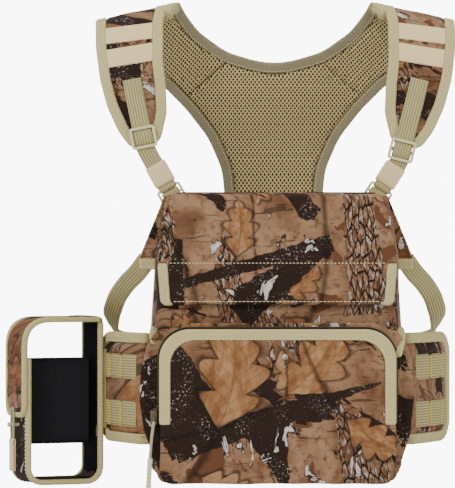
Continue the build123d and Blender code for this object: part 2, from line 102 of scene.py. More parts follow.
def area_light(name, place, aim, size, power):
    data = bpy.data.lights.new(name, "AREA")
    data.shape = "DISK"
    data.size = size
    data.energy = power
    light = bpy.data.objects.new(name, data)
    light.location = Vector(place)
    light.rotation_euler = (Vector(aim) - Vector(place)).to_track_quat("-Z", "Y").to_euler()
    bpy.context.scene.collection.objects.link(light)


def make_world():
    """Soft even light, with a white backdrop where the camera sees past the object."""
    world = bpy.data.worlds.new("studio")
    bpy.context.scene.world = world
    world.use_nodes = True
    tree = world.node_tree
    soft = tree.nodes["Background"]
    seen = tree.nodes.new("ShaderNodeBackground")
    for background, strength in ((soft, SKY_STRENGTH), (seen, PAPER_GLOW)):
        background.inputs["Color"].default_value = (1, 1, 1, 1)
        background.inputs["Strength"].default_value = strength
    path = tree.nodes.new("ShaderNodeLightPath")
    mix = tree.nodes.new("ShaderNodeMixShader")
    tree.links.new(path.outputs["Is Camera Ray"], mix.inputs[0])
    tree.links.new(soft.outputs[0], mix.inputs[1])
    tree.links.new(seen.outputs[0], mix.inputs[2])
    tree.links.new(mix.outputs[0], tree.nodes["World Output"].inputs["Surface"])


def make_floor():
    """White paper floor that keeps a faint shadow under the object."""
    low = CAD_BOX[0].z - FLOOR_DROP * MM
    mesh = bpy.data.meshes.new("floor")
    corners = [(x, y, low) for x, y in ((-1, -1), (1, -1), (1, 1), (-1, 1))]
    mesh.from_pydata([(x * FLOOR_HALF, y * FLOOR_HALF, z) for x, y, z in corners], [], [(0, 1, 2, 3)])
    floor = bpy.data.objects.new("floor", mesh)
    bpy.context.scene.collection.objects.link(floor)
    shader = Shader("floor_white", rough=0.9)
    shader.base((0.9, 0.9, 0.9))
    seen = shader.add("LightPath").outputs["Is Camera Ray"]
    glow = shader.math("MULTIPLY", seen, PAPER_GLOW - 1.0)
    shader.feed(shader.bsdf, {"Emission Color": (1, 1, 1), "Emission Strength": glow})
    mesh.materials.append(shader.material)


# ---- material kit -------------------------------------------------------------------
class Shader:
    """Thin wrapper that adds nodes to one Principled material."""

    def __init__(self, name, rough=0.85, sheen=0.0, metal=0.0, shine=0.15):
        self.material = bpy.data.materials.new(name)
        self.material.use_nodes = True
        self.tree = self.material.node_tree
        self.bsdf = self.tree.nodes["Principled BSDF"]
        self.feed(self.bsdf, {
            "Roughness": rough, "Metallic": metal, "Sheen Weight": sheen,
            "Sheen Roughness": 0.5, "Specular IOR Level": shine,
        })

    def put(self, socket, value):
        if isinstance(value, bpy.types.NodeSocket):
            self.tree.links.new(value, socket)
        elif isinstance(value, (tuple, list)) and len(value) == 3 and len(socket.default_value) == 4:
            socket.default_value = (*value, 1)
        else:
            socket.default_value = value

    def feed(self, node, values):
        """Link or set several inputs of a node by name."""
        for name, value in values.items():
            self.put(node.inputs[name], value)

    def add(self, kind, **props):
        node = self.tree.nodes.new("ShaderNode" + kind)
        for key, value in props.items():
            setattr(node, key, value)
        return node

    def base(self, colour):
        self.put(self.bsdf.inputs["Base Color"], colour)

    def rough(self, value):
        self.put(self.bsdf.inputs["Roughness"], value)

    def math(self, operation, a, b=0.0, clamp=False):
        node = self.add("Math", operation=operation, use_clamp=clamp)
        self.put(node.inputs[0], a)
        self.put(node.inputs[1], b)
        return node.outputs[0]

    def scaled(self, a, factor, offset=0.0):
        return self.math("ADD", self.math("MULTIPLY", a, factor), offset)

    def mix(self, share, a, b, blend="MIX"):
        node = self.add("Mix", data_type="RGBA", blend_type=blend)
        self.feed(node, {"Factor": share, "A": a, "B": b})
        return node.outputs["Result"]

    def step(self, value, low, high):
        """Smooth 0..1 step of a value between two edges."""
        node = self.add("MapRange", interpolation_type="SMOOTHSTEP")
        self.feed(node, {"Value": value, "From Min": low, "From Max": high})
        return node.outputs["Result"]

    def object_mm(self):
        """Object coordinates in millimetres."""
        coords = self.add("TexCoord")
        scale = self.add("VectorMath", operation="SCALE")
        self.put(scale.inputs[0], coords.outputs["Object"])
        scale.inputs["Scale"].default_value = 1 / MM
        return scale.outputs[0]

    def uv_mm(self):
        """UV map in millimetres, as separate sockets."""
        split = self.add("SeparateXYZ")
        self.put(split.inputs[0], self.add("UVMap").outputs["UV"])
        return split.outputs[0], split.outputs[1]

    def split(self, vector):
        node = self.add("SeparateXYZ")
        self.put(node.inputs[0], vector)
        return node.outputs

    def join(self, x, y, z=0.0):
        node = self.add("CombineXYZ")
        for socket, value in zip(node.inputs, (x, y, z)):
            self.put(socket, value)
        return node.outputs[0]

    def noise(self, vector, size, detail=3.0, rough=0.5, distortion=0.0):
        """Fractal noise whose cells are about size mm."""
        node = self.add("TexNoise")
        self.feed(node, {"Vector": vector, "Scale": 1 / size, "Detail": detail})
        self.feed(node, {"Roughness": rough, "Distortion": distortion})
        return node.outputs["Fac"]

    def ramp(self, value, stops):
        node = self.add("ValToRGB")
        self.put(node.inputs[0], value)
        elements = node.color_ramp.elements
        while len(elements) < len(stops):
            elements.new(0.5)
        for element, (place, colour) in zip(elements, stops):
            element.position = place
            element.color = (*colour, 1)
        return node.outputs[0]

    def bump(self, height, strength, distance):
        """Stack a bump of the given depth in mm."""
        node = self.add("Bump")
        self.feed(node, {"Strength": strength, "Distance": distance * MM, "Height": height})
        before = self.bsdf.inputs["Normal"]
        if before.is_linked:
            self.tree.links.new(before.links[0].from_socket, node.inputs["Normal"])
        self.tree.links.new(node.outputs[0], before)

    def wave(self, value, period):
        """0..1 sine of a coordinate in mm."""
        return self.scaled(self.math("SINE", self.math("MULTIPLY", value, 2 * math.pi / period)), 0.5, 0.5)

    def along_line(self, u, v, start, end):
        """Distance along a line and across it, and the line's length, in mm."""
        length = math.dist(start, end)
        du, dv = (end[0] - start[0]) / length, (end[1] - start[1]) / length
        from_u, from_v = self.math("SUBTRACT", u, start[0]), self.math("SUBTRACT", v, start[1])
        along = self.math("ADD", self.scaled(from_u, du), self.scaled(from_v, dv))
        across = self.math("SUBTRACT", self.scaled(from_v, du), self.scaled(from_u, dv))
        return along, across, length


DEPTH_U, DEPTH_V = 0.93, 0.37


def flat_coords(s):
    """Two in-surface coordinates in mm that work on the front, side and top faces alike."""
    x, y, z = s.split(s.object_mm())
    u = s.math("ADD", x, s.math("MULTIPLY", y, DEPTH_U))
    v = s.math("ADD", z, s.math("MULTIPLY", y, DEPTH_V))
    return u, v


def flat_at(x, z, y):
    """The same two coordinates of a point of the object."""
    return x + DEPTH_U * y, z + DEPTH_V * y


# ---- camouflage ---------------------------------------------------------------------
DARK = (0.009, 0.006, 0.005)
UMBER = (0.042, 0.020, 0.012)
BROWN = (0.135, 0.060, 0.029)
TAN = (0.265, 0.137, 0.070)
SAND = (0.38, 0.225, 0.125)
ASH = (0.47, 0.40, 0.34)
CHALK = (0.72, 0.66, 0.61)
LEAF_DARK = (0.155, 0.060, 0.022)
LEAF = (0.30, 0.135, 0.052)
LEAF_PALE = (0.44, 0.245, 0.115)
LID_Y, POCKET_Y = -81.5, -112.0
PLATE_SIZE = 4.6               # mm between the cracks of the bark


def leaf_on(s, colour, local_u, local_v, sine, cosine, size, tint, keep=None):
    """Colour with one lobed leaf laid over it; its own axis is turned by the sine and cosine."""
    across = s.math("SUBTRACT", s.math("MULTIPLY", local_u, cosine), s.math("MULTIPLY", local_v, sine))
    along = s.math("ADD", s.math("MULTIPLY", local_u, sine), s.math("MULTIPLY", local_v, cosine))
    across = s.math("ADD", across, s.scaled(s.math("MULTIPLY", along, along), 0.28 / size))
    side = s.math("ABSOLUTE", across)
    share = s.math("ADD", s.math("DIVIDE", along, size), 0.5, clamp=True)
    belly = s.math("POWER", s.math("SINE", s.scaled(share, math.pi)), 0.75)
    forward = s.math("SUBTRACT", share, s.scaled(side, 0.5 / size))
    lobes = s.scaled(s.math("ABSOLUTE", s.math("SINE", s.scaled(forward, math.pi * 3.6))), 0.52, 0.48)
    ragged = s.noise(s.join(local_u, local_v), size * 0.16, 2)
    width = s.scaled(s.math("MULTIPLY", belly, lobes), 0.33 * size)
    width = s.math("ADD", width, s.scaled(ragged, 0.07 * size, -0.035 * size))
    inside = s.math("SUBTRACT", width, side)
    mask = s.step(inside, 0.0, 0.9)
    shadow = s.scaled(s.step(inside, -0.075 * size, 0.6), 0.72)
    if keep is not None:
        mask = s.math("MULTIPLY", mask, keep)
        shadow = s.math("MULTIPLY", shadow, keep)
    light = s.noise(s.join(s.scaled(along, 0.45), across), size * 0.13, 5, 0.65, 0.5)
    light = s.math("ADD", light, s.scaled(tint, 0.35, -0.17))
    skin = s.ramp(light, [(0.30, LEAF_DARK), (0.46, LEAF), (0.62, LEAF_PALE), (0.74, SAND)])
    rim = s.step(inside, 0.8, 2.4)
    skin = s.mix(s.scaled(rim, -0.75, 0.75), skin, UMBER)
    midrib = s.step(side, 0.25, 0.9)
    skin = s.mix(s.scaled(midrib, -0.55, 0.55), skin, LEAF_DARK)
    slanted = s.math("SUBTRACT", along, s.scaled(side, 0.85))
    veins = s.step(s.wave(slanted, size * 0.115), 0.0, 0.10)
    skin = s.mix(s.scaled(veins, -0.32, 0.32), skin, LEAF_DARK)
    return s.mix(mask, s.mix(shadow, colour, DARK), skin)


def placed_leaf(s, u, v, colour, centre, turn, size, tint):
    local_u = s.math("SUBTRACT", u, centre[0])
    local_v = s.math("SUBTRACT", v, centre[1])
    angle = math.radians(turn)
    return leaf_on(s, colour, local_u, local_v, math.sin(angle), math.cos(angle), size, tint)


def scattered_leaves(s, u, v, colour, size, seed, cover):
    """A leaf at a random turn in some cells of a random grid."""
    cells = s.add("TexVoronoi", voronoi_dimensions="2D", feature="F1")
    place = s.join(s.math("ADD", u, seed * 37.0), s.math("ADD", v, seed * 91.0))
    s.feed(cells, {"Vector": place, "Scale": 1 / size, "Randomness": 0.8})
    local = s.add("VectorMath", operation="SUBTRACT")
    s.put(local.inputs[0], place)
    s.put(local.inputs[1], cells.outputs["Position"])
    local_u, local_v, _ = s.split(local.outputs[0])
    turn, chance, tint = s.split(cells.outputs["Color"])
    turn = s.scaled(turn, 2 * math.pi)
    keep = s.step(chance, 1 - cover, 1.01 - cover)
    sine, cosine = s.math("SINE", turn), s.math("COSINE", turn)
    return leaf_on(s, colour, local_u, local_v, sine, cosine, size * 1.05, tint, keep)


def bark_colour(s, u, v, lean):
    """Long cracked plates of bark."""
    across = s.math("ADD", u, s.scaled(v, lean))
    along = s.math("SUBTRACT", v, s.scaled(u, lean))
    wobble = s.noise(s.join(across, along), 16, 3)
    across = s.math("ADD", across, s.scaled(wobble, 9.0))
    plane = s.join(s.scaled(across, 1.0), s.scaled(along, 0.30))
    cracks = s.add("TexVoronoi", voronoi_dimensions="2D", feature="DISTANCE_TO_EDGE")
    s.feed(cracks, {"Vector": plane, "Scale": 1 / PLATE_SIZE})
    plate = s.noise(plane, 3.2, 6, 0.72)
    skin = s.ramp(plate, [(0.33, DARK), (0.43, BROWN), (0.52, TAN), (0.60, ASH), (0.72, CHALK)])
    return s.mix(s.step(cracks.outputs["Distance"], 0.03, 0.15), DARK, skin)


def shadow_colour(s, plane):
    """Near-black undergrowth with pale flecks."""
    flecks = s.noise(plane, 2.2, 4, 0.7)
    where = s.noise(plane, 26, 2)
    lit = s.math("MULTIPLY", s.step(flecks, 0.56, 0.66), s.step(where, 0.48, 0.62))
    return s.mix(lit, s.mix(flecks, DARK, UMBER), s.mix(flecks, TAN, CHALK))


def limb_mask(s, u, v, plane, start, end, widths, ragged=5.0):
    """Mask of a straight limb that tapers from one half-width to another."""
    along, across, length = s.along_line(u, v, start, end)
    share = s.math("DIVIDE", along, length, clamp=True)
    half = s.scaled(share, widths[1] - widths[0], widths[0])
    half = s.math("ADD", half, s.scaled(s.noise(plane, 11, 3, 0.6), ragged, -ragged / 2))
    inside = s.math("SUBTRACT", half, s.math("ABSOLUTE", across))
    ends = s.math("MINIMUM", s.math("ADD", along, 2.0), s.math("SUBTRACT", length + 2.0, along))
    return s.step(s.math("MINIMUM", inside, ends), 0.0, 1.0)


# start, end, half-widths at each, raggedness; in mm
TRUNK = (flat_at(74, 142, LID_Y), flat_at(86, 22, LID_Y), (14, 19), 9)
LIMBS = (
    (flat_at(-116, 40, LID_Y), flat_at(50, 86, LID_Y), (4, 9), 5),
    (flat_at(42, 82, LID_Y), flat_at(-34, 24, LID_Y), (8, 20), 7),
    (flat_at(-92, 88, LID_Y), flat_at(-100, 28, LID_Y), (3, 13), 6),
    (flat_at(-112, -22, POCKET_Y), flat_at(-70, -100, POCKET_Y), (26, 34), 9),
    (flat_at(-96, -104, POCKET_Y), flat_at(96, -44, POCKET_Y), (16, 2), 6),
    (flat_at(-16, -84, POCKET_Y), flat_at(8, -138, POCKET_Y), (22, 4), 9),
)
# centre, turn in degrees, size in mm
BIG_LEAVES = (
    (flat_at(-42, -38, POCKET_Y), 8, 104),
    (flat_at(38, -26, POCKET_Y), 38, 84),
    (flat_at(88, -98, POCKET_Y), 120, 62),
)


def camo_material():
    s = Shader("woodland_cloth", rough=0.9, sheen=0.02)
    u, v = flat_coords(s)
    plane = s.join(u, v)
    ground = s.noise(plane, 64, 5, 0.55, 0.4)
    colour = s.ramp(ground, [(0.32, BROWN), (0.44, TAN), (0.56, SAND), (0.68, TAN)])
    dapple = s.noise(plane, 9, 5, 0.65)
    colour = s.mix(s.step(dapple, 0.46, 0.72), colour, BROWN)
    # old grass and twigs
    straw = s.noise(s.join(s.scaled(u, 0.35), s.scaled(v, 2.4)), 22, 4, 0.6, 1.4)
    colour = s.mix(s.scaled(s.step(straw, 0.60, 0.62), 0.7), colour, UMBER)
    # bark
    where = s.noise(s.join(s.math("ADD", u, s.scaled(v, 0.2)), s.scaled(v, 0.42), 40.0), 44, 2, 0.4)
    colour = s.mix(s.step(where, 0.565, 0.58), colour, bark_colour(s, u, v, 0.2))
    # red earth and deep shadow
    red = s.noise(s.join(u, v, 63.0), 36, 3, 0.5, 0.6)
    colour = s.mix(s.step(red, 0.59, 0.61), colour, s.mix(dapple, BROWN, LEAF_DARK))
    colour = scattered_leaves(s, u, v, colour, 52, 3, 0.42)
    slanted = s.join(s.math("ADD", s.scaled(u, 0.5), s.scaled(v, -0.6)), s.math("ADD", u, v), 17.0)
    deep = s.noise(slanted, 58, 4, 0.55, 0.5)
    shadows = shadow_colour(s, plane)
    colour = s.mix(s.step(deep, 0.575, 0.59), colour, shadows)
    # the big shapes of the front: a leaning trunk, fallen limbs and a few large leaves
    colour = s.mix(limb_mask(s, u, v, plane, *TRUNK), colour, bark_colour(s, u, v, 0.05))
    for limb in LIMBS:
        colour = s.mix(limb_mask(s, u, v, plane, *limb), colour, shadows)
    # peeled patches with thin dark rims
    pale = s.noise(s.join(s.scaled(u, 1.5), v, 90.0), 33, 4, 0.55, 0.7)
    chalk = s.mix(s.step(dapple, 0.4, 0.6), CHALK, ASH)
    colour = s.mix(s.step(pale, 0.635, 0.65), colour, DARK)
    colour = s.mix(s.step(pale, 0.652, 0.665), colour, chalk)
    tint = s.noise(plane, 70, 1)
    for centre, turn, size in BIG_LEAVES:
        colour = placed_leaf(s, u, v, colour, centre, turn, size, tint)
    fine = s.noise(plane, 1.5, 3, 0.65)
    colour = s.mix(s.scaled(fine, 0.42), colour, UMBER, "MULTIPLY")
    colour = s.mix(s.scaled(s.step(fine, 0.60, 0.74), 0.35), colour, SAND, "SCREEN")
    s.base(colour)
    weave = s.math("MULTIPLY", s.wave(u, 0.8), s.wave(v, 0.8))
    s.bump(weave, 0.5, 0.12)
    s.bump(s.noise(plane, 20, 3, 0.5, 0.4), 0.4, 1.6)
    return s.material


# ---- other materials ----------------------------------------------------------------
def tape_material(name, light, dark, period=1.4):
    """Grosgrain tape seen at any angle: fine ribs with painted shade in their grooves, and mottled thread.
    """
    s = Shader(name, rough=0.8, sheen=0.04)
    u, v = flat_coords(s)
    plane = s.join(u, v)
    ribs = s.math("MULTIPLY", s.wave(s.math("ADD", u, v), period), s.wave(s.math("SUBTRACT", u, v), period))
    threads = s.noise(plane, 1.1, 3, 0.6)
    rib_tone_with_shade = s.math("ADD", s.scaled(ribs, 0.25), threads)
    # painted shade: the grooves between the ribs come out darker
    colour = s.ramp(rib_tone_with_shade, [(0.34, dark), (0.74, light)])
    s.base(s.mix(s.scaled(s.noise(plane, 30, 2), 0.4), colour, dark))
    s.bump(rib_tone_with_shade, 0.7, 0.3)
    return s.material


def webbing_material(name, light, dark, rib_period=2.6, pick=1.7):
    """Ribbed webbing with painted shade in the grooves between ribs; the UV map runs across and along it in
    mm.
    """
    s = Shader(name, rough=0.72, sheen=0.04)
    u, v = s.uv_mm()
    ribs = s.wave(u, rib_period)
    picks = s.wave(s.math("ADD", v, s.scaled(u, 0.6)), pick)
    height = s.math("ADD", s.scaled(ribs, 0.72), s.scaled(picks, 0.28))
    threads = s.noise(s.join(u, v), 1.0, 2, 0.6)
    rib_tone_with_shade = s.math("ADD", s.scaled(height, 0.75), s.scaled(threads, 0.35))
    # painted shade: the grooves between the ribs and picks come out darker
    s.base(s.ramp(rib_tone_with_shade, [(0.20, dark), (0.78, light)]))
    s.bump(height, 1.0, 0.5)
    return s.material


def elastic_material(name, light, dark, period=1.5, strength=0.35):
    """Flat woven elastic with fine cross ribs, painted darker between them as shade."""
    s = Shader(name, rough=0.75, sheen=0.03)
    u, v = s.uv_mm()
    ribs = s.wave(v, period)
    fine = s.noise(s.join(u, v), 1.2, 3, 0.6)
    rib_tone_with_shade = s.math("ADD", s.scaled(ribs, strength), s.scaled(fine, 0.6))
    # painted shade: the grooves between the cross ribs come out darker
    s.base(s.ramp(rib_tone_with_shade, [(0.2, dark), (0.65, light)]))
    s.bump(rib_tone_with_shade, 0.5, 0.25)
    return s.material


def mesh_material():
    """Spacer mesh: a diagonal grid of holes, painted dark as shade, between knitted ridges."""
    s = Shader("spacer_mesh", rough=0.85, sheen=0.03)
    u, v = s.uv_mm()
    one = s.wave(s.math("ADD", u, s.scaled(v, 0.7)), MESH_PITCH)
    other = s.wave(s.math("SUBTRACT", u, s.scaled(v, 0.7)), MESH_PITCH)
    hole = s.step(s.math("MULTIPLY", one, other), 0.20, 0.33)
    fine = s.noise(s.join(u, v), 1.2, 2, 0.6)
    thread = s.ramp(fine, [(0.3, MESH_THREAD_DARK), (0.7, MESH_THREAD)])
    # painted shade: the holes are near-black
    s.base(s.mix(hole, thread, MESH_HOLE_SHADE))
    s.bump(s.math("SUBTRACT", 1.0, hole), 1.0, 0.8)
    return s.material


def plain_material(name, light, dark, size, rough, depth=0.1, sheen=0.0, metal=0.0, shine=0.2):
    """Moulded, sewn or cast surface with a mottled grain."""
    s = Shader(name, rough=rough, sheen=sheen, metal=metal, shine=shine)
    where = s.object_mm()
    grain = s.noise(where, size, 4, 0.6)
    s.base(s.mix(grain, dark, light))
    s.rough(s.scaled(s.noise(where, size * 9, 3), 0.25, rough - 0.12))
    s.bump(grain, 0.4, depth)
    return s.material


def coil_material():
    """Zipper tape with its row of teeth, which run along the UV map."""
    s = Shader("zipper_coil", rough=0.6)
    u, v = s.uv_mm()
    teeth = s.math("MULTIPLY", s.wave(v, 1.6), s.step(s.wave(u, 5.0), 0.35, 0.6))
    s.base(s.mix(teeth, TOOTH_GAP, TOOTH))
    s.bump(teeth, 0.9, 0.5)
    return s.material


KHAKI, KHAKI_DARK = (0.70, 0.61, 0.29), (0.34, 0.28, 0.115)
WEB_LIGHT, WEB_DARK = (0.52, 0.45, 0.21), (0.20, 0.165, 0.066)
GREIGE, GREIGE_DARK = (0.385, 0.335, 0.205), (0.165, 0.14, 0.078)
TAN_LIGHT, TAN_DARK = (0.86, 0.69, 0.36), (0.60, 0.465, 0.225)
SOOT, INK = (0.020, 0.021, 0.025), (0.004, 0.004, 0.006)
LINING, LINING_DARK = (0.006, 0.006, 0.007), (0.002, 0.002, 0.002)
ACETAL, ACETAL_DARK = (0.70, 0.63, 0.37), (0.58, 0.51, 0.28)
ZIPPER, ZIPPER_DARK = (0.075, 0.055, 0.032), (0.022, 0.016, 0.010)
BRONZE, BRONZE_DARK = (0.20, 0.165, 0.10), (0.08, 0.06, 0.035)
COCOA, COCOA_DARK = (0.10, 0.065, 0.04), (0.035, 0.022, 0.014)
OLIVE, OLIVE_DARK = (0.12, 0.10, 0.05), (0.04, 0.033, 0.018)
NICKEL, NICKEL_DARK = (0.6, 0.58, 0.55), (0.45, 0.43, 0.4)
BOARD, BOARD_DARK = (0.05, 0.05, 0.05), (0.02, 0.02, 0.02)
CORD, CORD_DARK = (0.58, 0.52, 0.32), (0.20, 0.17, 0.09)
CREAM, CREAM_DARK = (0.78, 0.72, 0.50), (0.60, 0.54, 0.34)
THREAD, THREAD_DARK = (0.86, 0.78, 0.50), (0.62, 0.54, 0.31)
YELLOW, YELLOW_DARK = (0.95, 0.72, 0.05), (0.70, 0.48, 0.02)
# the colour of the mesh holes is painted shade
MESH_THREAD, MESH_THREAD_DARK, MESH_HOLE_SHADE = (0.74, 0.60, 0.29), (0.36, 0.275, 0.11), (0.026, 0.018, 0.009)
TOOTH, TOOTH_GAP = (0.16, 0.125, 0.075), (0.030, 0.022, 0.014)
MESH_PITCH = 4.0
MATERIALS = {}


def make_materials():
    MATERIALS.update(
        camo=camo_material(),
        binding=tape_material("khaki_tape", KHAKI, KHAKI_DARK),
        yoke_binding=tape_material("greige_tape", GREIGE, GREIGE_DARK),
        webbing=webbing_material("khaki_webbing", WEB_LIGHT, WEB_DARK),
        dark_webbing=webbing_material("olive_webbing", OLIVE, OLIVE_DARK),
        tan=elastic_material("tan_elastic", TAN_LIGHT, TAN_DARK),
        black_elastic=elastic_material("black_elastic", SOOT, INK, 2.0, 0.6),
        mesh=mesh_material(),
        black=plain_material("black_lining", LINING, LINING_DARK, 1.2, 0.9, 0.15, shine=0.05),
        plastic=plain_material("khaki_acetal", ACETAL, ACETAL_DARK, 2.0, 0.42, 0.04, shine=0.4),
        coil=coil_material(),
        zipper=plain_material("zipper_tape", ZIPPER, ZIPPER_DARK, 0.9, 0.7, 0.2, 0.1),
        metal=plain_material("lacquered_slider", BRONZE, BRONZE_DARK, 1.6, 0.4, 0.03, 0, 0.6),
        steel=plain_material("nickel", NICKEL, NICKEL_DARK, 1.5, 0.3, 0.02, 0, 1.0),
        board=plain_material("board", BOARD, BOARD_DARK, 2.0, 0.6, 0.05),
        cord=plain_material("braided_cord", CORD, CORD_DARK, 0.9, 0.75, 0.25, 0.15),
        grip=plain_material("moulded_grip", CREAM, CREAM_DARK, 1.4, 0.55, 0.06),
        thread=plain_material("khaki_thread", THREAD, THREAD_DARK, 0.5, 0.7, 0.05),
        yellow=plain_material("yellow_thread", YELLOW, YELLOW_DARK, 0.5, 0.6, 0.05),
        dark_thread=plain_material("brown_thread", COCOA, COCOA_DARK, 0.5, 0.7, 0.05),
    )


# ---- mesh kit -----------------------------------------------------------------------
def link(name, mesh, material, body):
    piece = bpy.data.objects.new(name, mesh)
    bpy.context.scene.collection.objects.link(piece)
    mesh.materials.clear()
    mesh.materials.append(MATERIALS[material])
    mesh.polygons.foreach_set("use_smooth", [True] * len(mesh.polygons))
    if body:
        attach(piece, body)
    return piece


def from_parts(name, parts, material, body):
    """One piece from (points in mm, faces, one (u, v) in mm per point or None) parts."""
    points, faces, uvs = [], [], []
    for part_points, part_faces, part_uvs in parts:
        start = len(points)
        points += [Vector(p) * MM for p in part_points]
        faces += [tuple(start + i for i in face) for face in part_faces]
        uvs += list(part_uvs if part_uvs is not None else [(0, 0)] * len(part_points))
    mesh = bpy.data.meshes.new(name)
    mesh.from_pydata(points, [], faces)
    layer = mesh.uv_layers.new(name="UVMap")
    for loop in mesh.loops:
        layer.data[loop.index].uv = uvs[loop.vertex_index]
    work = bmesh.new()
    work.from_mesh(mesh)
    bmesh.ops.recalc_face_normals(work, faces=work.faces)
    work.to_mesh(mesh)
    work.free()
    return link(name, mesh, material, body)


def evaluated(piece):
    """Apply a piece's modifiers."""
    graph = bpy.context.evaluated_depsgraph_get()
    mesh = bpy.data.meshes.new_from_object(piece.evaluated_get(graph))
    old = piece.data
    piece.modifiers.clear()
    piece.data = mesh
    bpy.data.meshes.remove(old)
    mesh.name = piece.name
    mesh.polygons.foreach_set("use_smooth", [True] * len(mesh.polygons))


def vertices_of(mesh, what="co"):
    values = np.empty(len(mesh.vertices) * 3)
    mesh.vertices.foreach_get(what, values)
    return values.reshape(-1, 3)


def set_vertices(mesh, co):
    mesh.vertices.foreach_set("co", co.ravel())
    mesh.update()


def soft_copy(name, nodes, voxel, smooth, material, swell=0.0, ride=True):
    """Remeshed, softened stand-in for CAD nodes, which rides on their body if ride is true."""
    parts = []
    for node in nodes:
        data = NODES[node].data
        parts.append((vertices_of(data) / MM, [tuple(p.vertices) for p in data.polygons], None))
    piece = from_parts(name, parts, material, None)
    remesh = piece.modifiers.new("remesh", "REMESH")
    remesh.mode = "VOXEL"
    remesh.voxel_size = voxel * MM
    evaluated(piece)
    relax = piece.modifiers.new("relax", "SMOOTH")
    relax.factor = 0.5
    relax.iterations = smooth
    evaluated(piece)
    set_vertices(piece.data, vertices_of(piece.data) + vertices_of(piece.data, "normal") * swell * MM)
    piece.data.materials.clear()
    piece.data.materials.append(MATERIALS[material])
    if ride:
        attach(piece, BODY_OF[nodes[0]])
    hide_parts(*nodes)
    return piece


def bell(distance, width):
    return math.exp(-((distance / width) ** 2))


def displace(piece, how):
    """Move each vertex along its normal by how(point in mm, normal) mm."""
    co = vertices_of(piece.data)
    normals = vertices_of(piece.data, "normal")
    for index, point in enumerate(co):
        co[index] += normals[index] * how(point / MM, normals[index]) * MM
    set_vertices(piece.data, co)


def wrinkle(piece, amount, size, seed=0, stretch=(1, 1, 1)):
    """Push a piece's surface in and out by smooth noise."""
    shift = Vector((seed * 7.3, seed * 3.1, seed))

    def how(point, normal):
        return noise.noise(Vector(point * stretch) / size + shift) * amount

    displace(piece, how)


def inflate(piece, pressure, cap, frames=14, stiffness=12):
    """Let cloth pressure fill a closed piece: points move only outward, by at most cap mm."""
    start = vertices_of(piece.data)
    normals = vertices_of(piece.data, "normal")
    cloth = piece.modifiers.new("cloth", "CLOTH")
    settings = cloth.settings
    settings.quality = 4
    settings.tension_stiffness = stiffness
    settings.compression_stiffness = stiffness
    settings.bending_stiffness = 0.8
    settings.use_pressure = True
    settings.uniform_pressure_force = pressure
    settings.effector_weights.gravity = 0
    scene = bpy.context.scene
    cloth.point_cache.frame_start = 1
    cloth.point_cache.frame_end = frames
    for number in range(1, frames + 1):
        scene.frame_set(number)
    graph = bpy.context.evaluated_depsgraph_get()
    swollen = bpy.data.meshes.new_from_object(piece.evaluated_get(graph))
    moved = vertices_of(swollen) - start
    bpy.data.meshes.remove(swollen)
    piece.modifiers.clear()
    scene.frame_set(1)
    outward = np.sum(moved * normals, axis=1, keepdims=True)
    set_vertices(piece.data, start + normals * np.clip(outward, 0, cap * MM))


# ---- lines --------------------------------------------------------------------------
def unit(vector):
    vector = np.asarray(vector, float)
    return vector / np.maximum(np.linalg.norm(vector, axis=-1, keepdims=True), 1e-9)


def distances(path):
    """Distance along a path at each of its points."""
    return np.concatenate([[0], np.cumsum(np.linalg.norm(np.diff(path, axis=0), axis=1))])


def resample(path, spacing, closed=False):
    path = np.array([tuple(p) for p in path], float)
    along = distances(path)
    at = np.linspace(0, along[-1], max(2, round(along[-1] / spacing)) + 1)
    out = np.stack([np.interp(at, along, path[:, axis]) for axis in range(path.shape[1])], axis=1)
    return out[:-1] if closed else out


def rounded(points, radii, closed=True, spacing=3.0):
    """Polyline with soft corners of the given radii, evenly resampled."""
    points = [Vector(p) for p in points]
    path = []
    for index, corner in enumerate(points):
        if not closed and index in (0, len(points) - 1):
            path.append(corner)
            continue
        back = points[index - 1] - corner
        ahead = points[(index + 1) % len(points)] - corner
        reach = radii[index] * math.tan((math.pi - back.angle(ahead)) / 2)
        reach = min(reach, back.length * 0.49, ahead.length * 0.49)
        a = corner + back.normalized() * reach
        b = corner + ahead.normalized() * reach
        for share in np.linspace(0, 1, 9):
            path.append(a.lerp(corner, share).lerp(corner.lerp(b, share), share))
    if closed:
        path.append(path[0])
    return resample(path, spacing, closed)


def smooth_path(points, spacing=2.0):
    """Catmull-Rom curve through points in mm, evenly resampled."""
    points = [np.array(p, float) for p in points]
    padded = [2 * points[0] - points[1], *points, 2 * points[-1] - points[-2]]
    fine = []
    for a, b, c, d in zip(padded, padded[1:], padded[2:], padded[3:]):
        bend = 2 * a - 5 * b + 4 * c - d
        swing = 3 * b - a - 3 * c + d
        for t in np.linspace(0, 1, 12, endpoint=False):
            fine.append(0.5 * (2 * b + (c - a) * t + bend * t**2 + swing * t**3))
    fine.append(points[-1])
    return resample(fine, spacing)


def tangents(path, closed=False):
    if closed:
        return unit(np.roll(path, -1, axis=0) - np.roll(path, 1, axis=0))
    return unit(np.gradient(path, axis=0))


def rim_loops(node, facing, keep=0.35, spacing=1.5):
    """Closed loops round the part of a CAD node that faces one way, in mm, and their outward directions."""
    mesh = NODES[node].data
    facing = unit(facing)
    keys = [tuple(np.round(np.array(v.co) / MM, 2)) for v in mesh.vertices]
    edges = set()
    for polygon in mesh.polygons:
        if np.dot(polygon.normal, facing) < keep:
            continue
        ring = [keys[i] for i in polygon.vertices]
        edges.update((a, b) for a, b in zip(ring, ring[1:] + ring[:1]) if a != b)
    border = {a: b for a, b in edges if (b, a) not in edges}
    loops = []
    while border:
        loop = [min(border)]
        while loop[-1] in border:
            loop.append(border.pop(loop[-1]))
        line = resample(loop, spacing, closed=True)
        if len(line) > 20:
            loops.append((line, unit(np.cross(tangents(line, True), facing))))
    return loops


